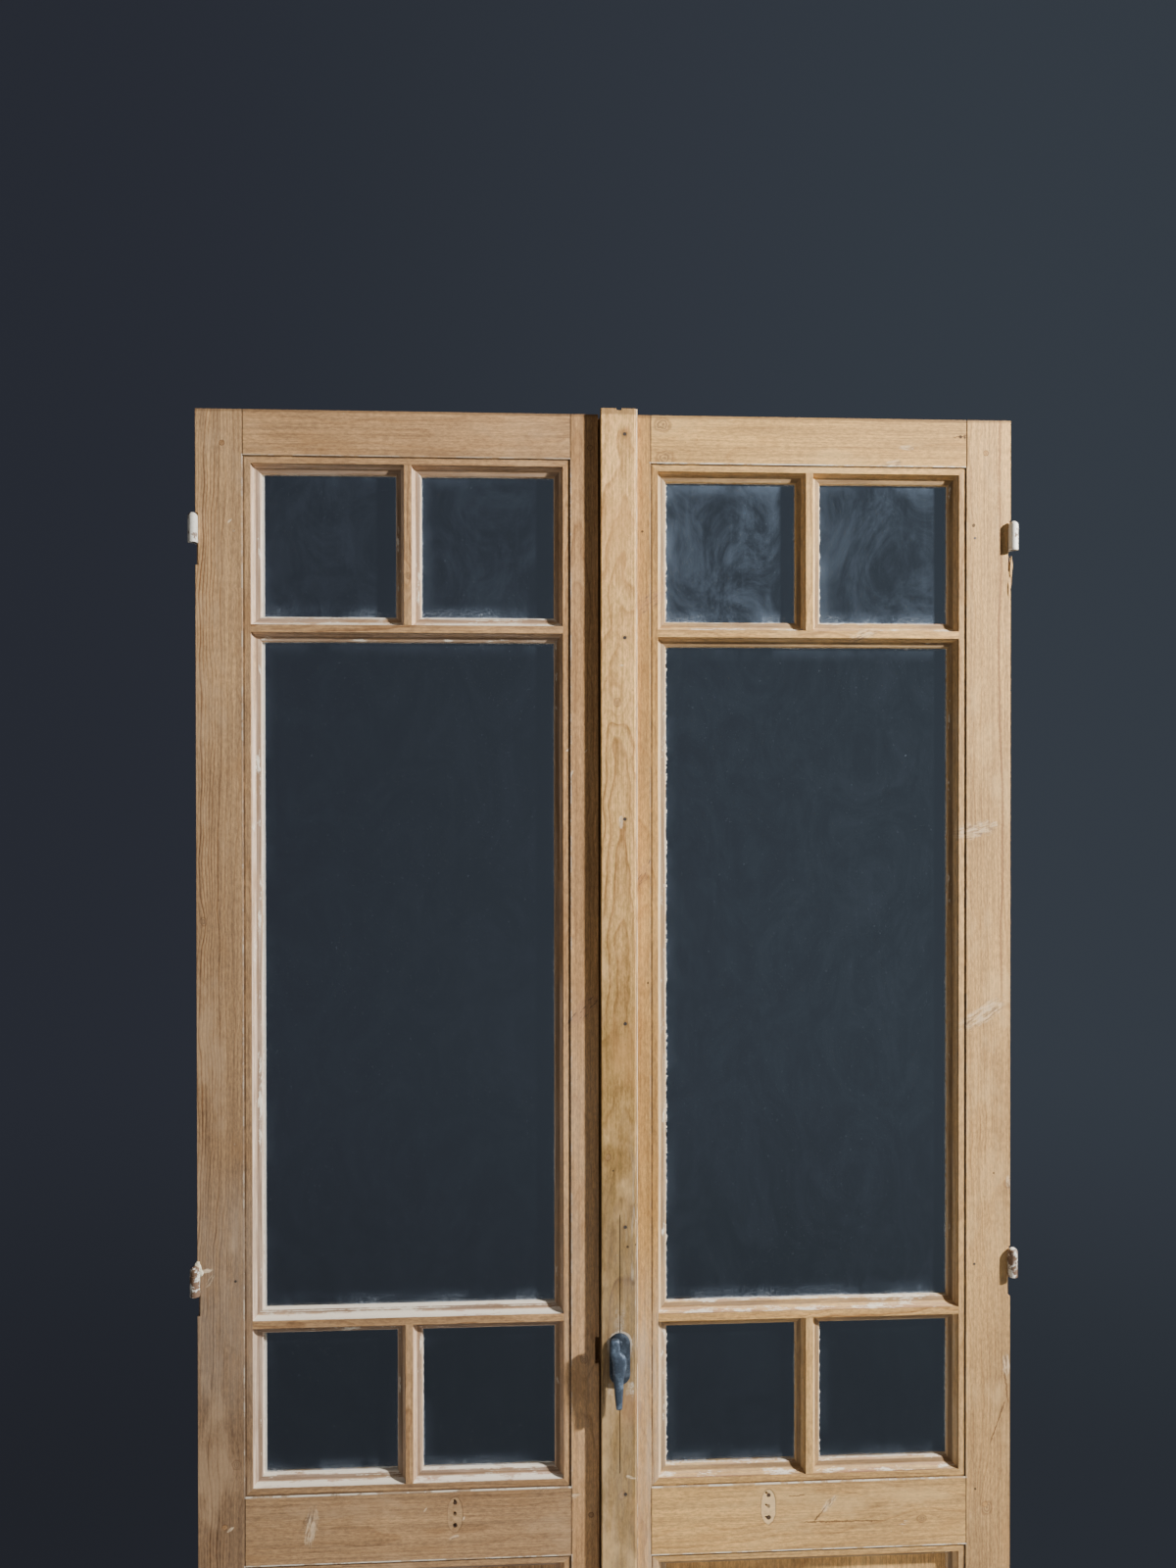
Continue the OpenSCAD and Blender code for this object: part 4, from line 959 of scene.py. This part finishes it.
MARKS = {                                    # row frame: kind, X, Z, size, tilt in degrees
    "left_hinge_stile": (
        ("haze", -0.630, 0.960, 0.230, 12), ("scratch", -0.597, 2.175, 0.008, 45),
        ("scratch", -0.600, 0.592, 0.012, 34), ("scratch", -0.636, 1.000, 0.016, 10),
        ("branch", -0.630, 0.985, 0.018, 60)),
    "left_mid_rail": (
        ("branch", -0.474, 0.592, 0.050, 82), ("branch", -0.251, 0.567, 0.014, 20),
        ("scratch", -0.236, 0.596, 0.008, 62), ("scratch", -0.296, 0.612, 0.006, 54)),
    "left_meeting_stile": (
        ("haze", -0.060, 1.000, 0.500, 10), ("scratch", -0.072, 0.569, 0.016, 23),
        ("branch", -0.064, 0.626, 0.022, 15), ("brown", -0.043, 1.403, 0.060, 45),
        ("scratch", -0.062, 1.780, 0.008, 70), ("scratch", -0.067, 1.818, 0.008, 36),
        ("scratch", -0.040, 1.815, 0.006, 45)),
    "right_meeting_stile": (
        ("haze", 0.055, 0.640, 0.420, 30), ("brown", 0.058, 2.050, 0.060, 35), ("brown", 0.053, 1.622, 0.044, 65),
        ("hole", 0.051, 2.165, 0.0022, 0), ("hole", 0.059, 1.445, 0.0018, 0)),
    "right_top_rail": (
        ("crack", 0.570, 2.324, 0.034, 8), ("hole", 0.567, 2.323, 0.0030, 0), ("branch", 0.479, 2.304, 0.020, 0),
        ("branch", 0.456, 2.278, 0.026, 10), ("hole", 0.574, 2.322, 0.0022, 0)),
    "right_hinge_stile": (
        ("vein", 0.636, 1.800, 0.900, 90), ("vein", 0.631, 2.250, 0.300, 90), ("hole", 0.589, 2.180, 0.0034, 0),
        ("branch", 0.593, 1.687, 0.060, 12), ("branch", 0.607, 1.390, 0.066, 32), ("hole", 0.623, 1.130, 0.0020, 0),
        ("crack", 0.643, 0.790, 0.080, 97), ("crack", 0.630, 0.725, 0.080, 70), ("branch", 0.645, 0.815, 0.030, 95),
        ("hole", 0.593, 0.616, 0.0024, 0), ("branch", 0.647, 1.115, 0.018, 95)),
    "right_mid_rail": (
        ("crack", 0.372, 0.571, 0.150, -1), ("crack", 0.345, 0.592, 0.060, 48),
        ("branch", 0.352, 0.600, 0.030, 50), ("crack", 0.300, 0.615, 0.030, 4)),
    "right_upper_cross_bar": (("branch", 0.411, 2.004, 0.040, 20),),
    "cover_strip": (
        ("haze", 0.010, 0.740, 0.480, 11), ("scratch", 0.015, 1.703, 0.018, 88), ("hole", 0.025, 1.029, 0.0022, 0),
        ("hole", 0.038, 1.032, 0.0020, 0), ("scratch", 0.030, 0.662, 0.012, -16),
        ("scratch", 0.016, 1.950, 0.006, 0), ("hole", 0.002, 1.150, 0.0015, 0)),
}
TINTS = {                                    # shares of red, green and blue that a board keeps
    "left_meeting_stile": (1.02, 0.97, 0.90), "right_meeting_stile": (0.79, 0.735, 0.665),
    "left_hinge_stile": (0.98, 1.02, 1.09), "right_hinge_stile": (1.02, 1.03, 1.11),
    "left_top_rail": (0.98, 0.97, 0.96), "right_top_rail": (0.99, 0.98, 0.94),
    "left_mid_rail": (0.98, 1.00, 1.03), "right_mid_rail": (0.97, 0.98, 0.99),
}
UPRIGHT_PAINT = {"left": 0.42, "right": 0.16}            # paint left on the upright arrises round the mouldings
TOP_PAINT = {"left": 0.35, "right": 1.0}                 # and on the top ones of the upper fields
CATCH = {"left": (72 * MM, 0.14), "right": (-67 * MM, 0.62)}     # aside of the leaf's middle, how fresh it looks
CATCH_RISE = 17 * MM                         # over the middle of its rail


def leaf_fields(side, lines):
    """The two moulded fields of a leaf, glass and panel: middle, half width and height, paint on top and sides."""
    ends = sorted((lines["hinge"], lines["meeting"]))
    across, half_width = sum(ends) / 2, (ends[1] - ends[0]) / 2
    return [(Vector((across, FACE_Y, (top + foot) / 2)), half_width, (top - foot) / 2, on_top, UPRIGHT_PAINT[side])
            for top, foot, on_top in ((lines["top"], lines["mid_top"], TOP_PAINT[side]),
                                      (lines["mid_low"], lines["low"], 1.0))]


def board_knots(node, upright):
    """A board's knots as (across, along, size) in the board."""
    centre = middle(node)
    return [(x - centre.x, z, size) if upright else (z - centre.z, x, size)
            for x, z, size in KNOTS.get(node, ())]


def finish_leaf(side, first_seed):
    lines = leaf_lines(side)
    fields = leaf_fields(side, lines)
    runs = {"top_rail": (lines["top"], LEAF_TOP), "mid_rail": (lines["mid_low"], lines["mid_top"]),
            "bottom_rail": (0.0, lines["low"])}
    for index, (board, (upright, gap, lean, pith, paint, foot)) in enumerate(BOARDS.items()):
        node = f"{side}_{board}"
        centre = middle(node)
        seams, extra = (), None
        if board in runs:
            seams = [(0, x, *runs[board]) for x in sorted((lines["hinge"], lines["meeting"]))]
        elif board.endswith("stile"):
            seams = [(0, lines[board.removesuffix("_stile")], *run) for run in runs.values()]
        if board == "mid_rail":
            aside, fresh = CATCH[side]
            extra = catch_mark(Vector((fields[0][0].x + aside, FACE_Y, centre.z + CATCH_RISE)), fresh)
        if side == "right":                  # turned the other way, with less paint and less painted shade at the foot
            pith, paint, foot = (-pith[0], pith[1]), paint * 0.6, foot + (1 - foot) * 0.3
            # its moulding faces the key: more wash, partly painted highlight, and painted light rather than shade
            # towards its foot
            if board == "meeting_stile":
                paint, foot = 0.85, 1.12
        finish_node(node, pine(
            node + "_pine", side, upright, centre, seed=first_seed + 1.7 * index, pith=pith, gap=gap * MM,
            lean=lean, knots=board_knots(node, upright), paint=paint, foot_shade=foot,
            show=SHOW.get(node, SHOW.get(board, (1.1,))), tint=TINTS.get(node, (1.0, 1.0, 1.0)),
            marks=MARKS.get(node, ()), extra=extra, seams=seams,
            fields=fields if board.endswith(("stile", "rail")) else ()))
    finish_node(side + "_pegs", peg_wood(side))


def finish_strip():
    # painted shade: the strip is painted much darker towards its foot, its blue darkening most
    finish_node("cover_strip", pine(
        "cover_strip_pine", "strip", True, middle("cover_strip"), seed=57.0, pith=(0.002, 0.050), gap=4.2 * MM,
        lean=0.034, knots=board_knots("cover_strip", True), paint=0.0, foot_shade=0.35, show=(1.6,),
        tint=(1.09, 1.08, 1.08), marks=MARKS["cover_strip"], extra=strip_marks, face=STRIP_Y, reach=(0.9, 2.2),
        blue=1.2))


def finish_hardware():
    glass = old_glass()
    putty = putty_material()
    knuckles = {"left": painted_iron("painted_knuckle", 0.555, 0.88),
                "right": painted_iron("white_knuckle", 0.60, 1.16)}
    bare_knuckle = painted_iron("worn_knuckle", 0.43)
    nail = worn_iron("old_nail_steel", *DARK_STEEL, 0.6, 0.6)
    pins = pin_steel()
    bolt = worn_iron("bolt_iron", (0.16, 0.15, 0.14), (0.34, 0.32, 0.30), 0.9, 0.55)
    iron = worn_iron("forged_iron", (0.068, 0.098, 0.148), (0.270, 0.380, 0.540), 0.55, 0.58, 1.1 * MM)
    plate_iron = worn_iron("plate_iron", (0.055, 0.076, 0.108), (0.200, 0.260, 0.350), 0.55, 0.60, 0.8 * MM)
    for side in SIDES:
        for pane in PANES:
            finish_node(f"{side}_{pane}", glass)
        finish_node(side + "_putty", putty)
        finish_node(side + "_hinge_pins", pins)
        for hinge in ("upper", "middle", "lower"):
            worn = hinge == "middle"
            finish_node(f"{side}_hinge_{hinge}", bare_knuckle if worn else knuckles[side])
    for node in ("gear_case", "case_cover", "rod_guides", "pinion", "upper_rod", "lower_rod"):
        finish_node(node, bolt)
    finish_node("strip_nails", nail)
    for node in ("backplate", "plate_screws"):
        finish_node(node, plate_iron)
    make_forged_lever(iron)


def make_floor():
    material, shader = new_material("pale_floor")
    feed(shader, Base_Color=(0.72, 0.71, 0.69, 1.0), Roughness=0.9)
    mesh = bpy.data.meshes.new("pale_floor")
    wide, front, behind = 1.5, -0.95, 0.52
    corners = ((-wide, front, 0), (wide, front, 0), (wide, behind, 0), (-wide, behind, 0))
    mesh.from_pydata(corners, [], [(0, 1, 2, 3)])
    mesh.materials.append(material)
    floor = bpy.data.objects.new("pale_floor", mesh)
    bpy.context.scene.collection.objects.link(floor)


def make_lights():
    """A small soft key high on the right, a weak wide fill, and one behind for the back views."""
    centre = Vector((0.0, FACE_Y, 1.45))

    def area(name, place, size, power, colour):
        light = bpy.data.lights.new(name, "AREA")
        light.shape, light.size, light.energy, light.color = "DISK", size, power, colour
        lamp = bpy.data.objects.new(name, light)
        bpy.context.scene.collection.objects.link(lamp)
        lamp.location = place
        lamp.rotation_euler = (centre - lamp.location).to_track_quat("-Z", "Y").to_euler()
        lamp.visible_camera = False
        return lamp
    area("key", (3.10, -1.64, 3.15), 0.22, 400, (1.0, 0.96, 0.89))
    fill = area("fill", (-1.6, -3.6, 2.2), 2.5, 22, (1.0, 0.93, 0.84))
    back = area("back_fill", (2.2, 3.4, 3.4), 2.0, 130, (1.0, 0.97, 0.93))
    for lamp in (fill, back):
        lamp.visible_transmission = lamp.visible_glossy = False
    world = bpy.data.worlds.new("studio")
    bpy.context.scene.world = world
    world.use_nodes = True
    Wire.tree = world.node_tree
    way = split(here("Generated"))
    side = step(way[0], -0.45, 0.45)
    wall = mix(side, (0.026, 0.029, 0.040), (0.042, 0.051, 0.066))
    # painted shadow: the wall behind goes darker low down, for the doors' shadow falling on it
    wall = mix(step(way[2], -0.20, -0.50, (0.0, 0.50)), wall, (0.014, 0.015, 0.018))
    colour = mix(step(way[1], -0.35, 0.20), (0.038, 0.040, 0.043), wall)
    feed(world.node_tree.nodes["Background"], Color=colour)


def make_camera():
    """Eye a little left of the middle, high on the doors, looking slightly to the right."""
    camera = bpy.data.cameras.new("eye")
    camera.sensor_fit = "HORIZONTAL"
    camera.sensor_width = 36.0
    camera.lens = 35.7
    eye = bpy.data.objects.new("eye", camera)
    bpy.context.scene.collection.objects.link(eye)
    eye.location = (-0.135, FACE_Y - 1.853, 1.7735)
    yaw, pitch, roll = math.radians(3.05), math.radians(-0.33), math.radians(0.06)
    eye.rotation_euler = (math.pi / 2 + pitch, roll, -yaw)
    bpy.context.scene.camera = eye


make_camera()
make_lights()
make_floor()
for leaf, leaf_seed in (("left", 0.0), ("right", 20.3)):
    finish_leaf(leaf, leaf_seed)
finish_strip()
finish_hardware()
make_dust_films()
make_paint_blobs()
make_splinters(bpy.data.materials["right_hinge_stile_pine"])
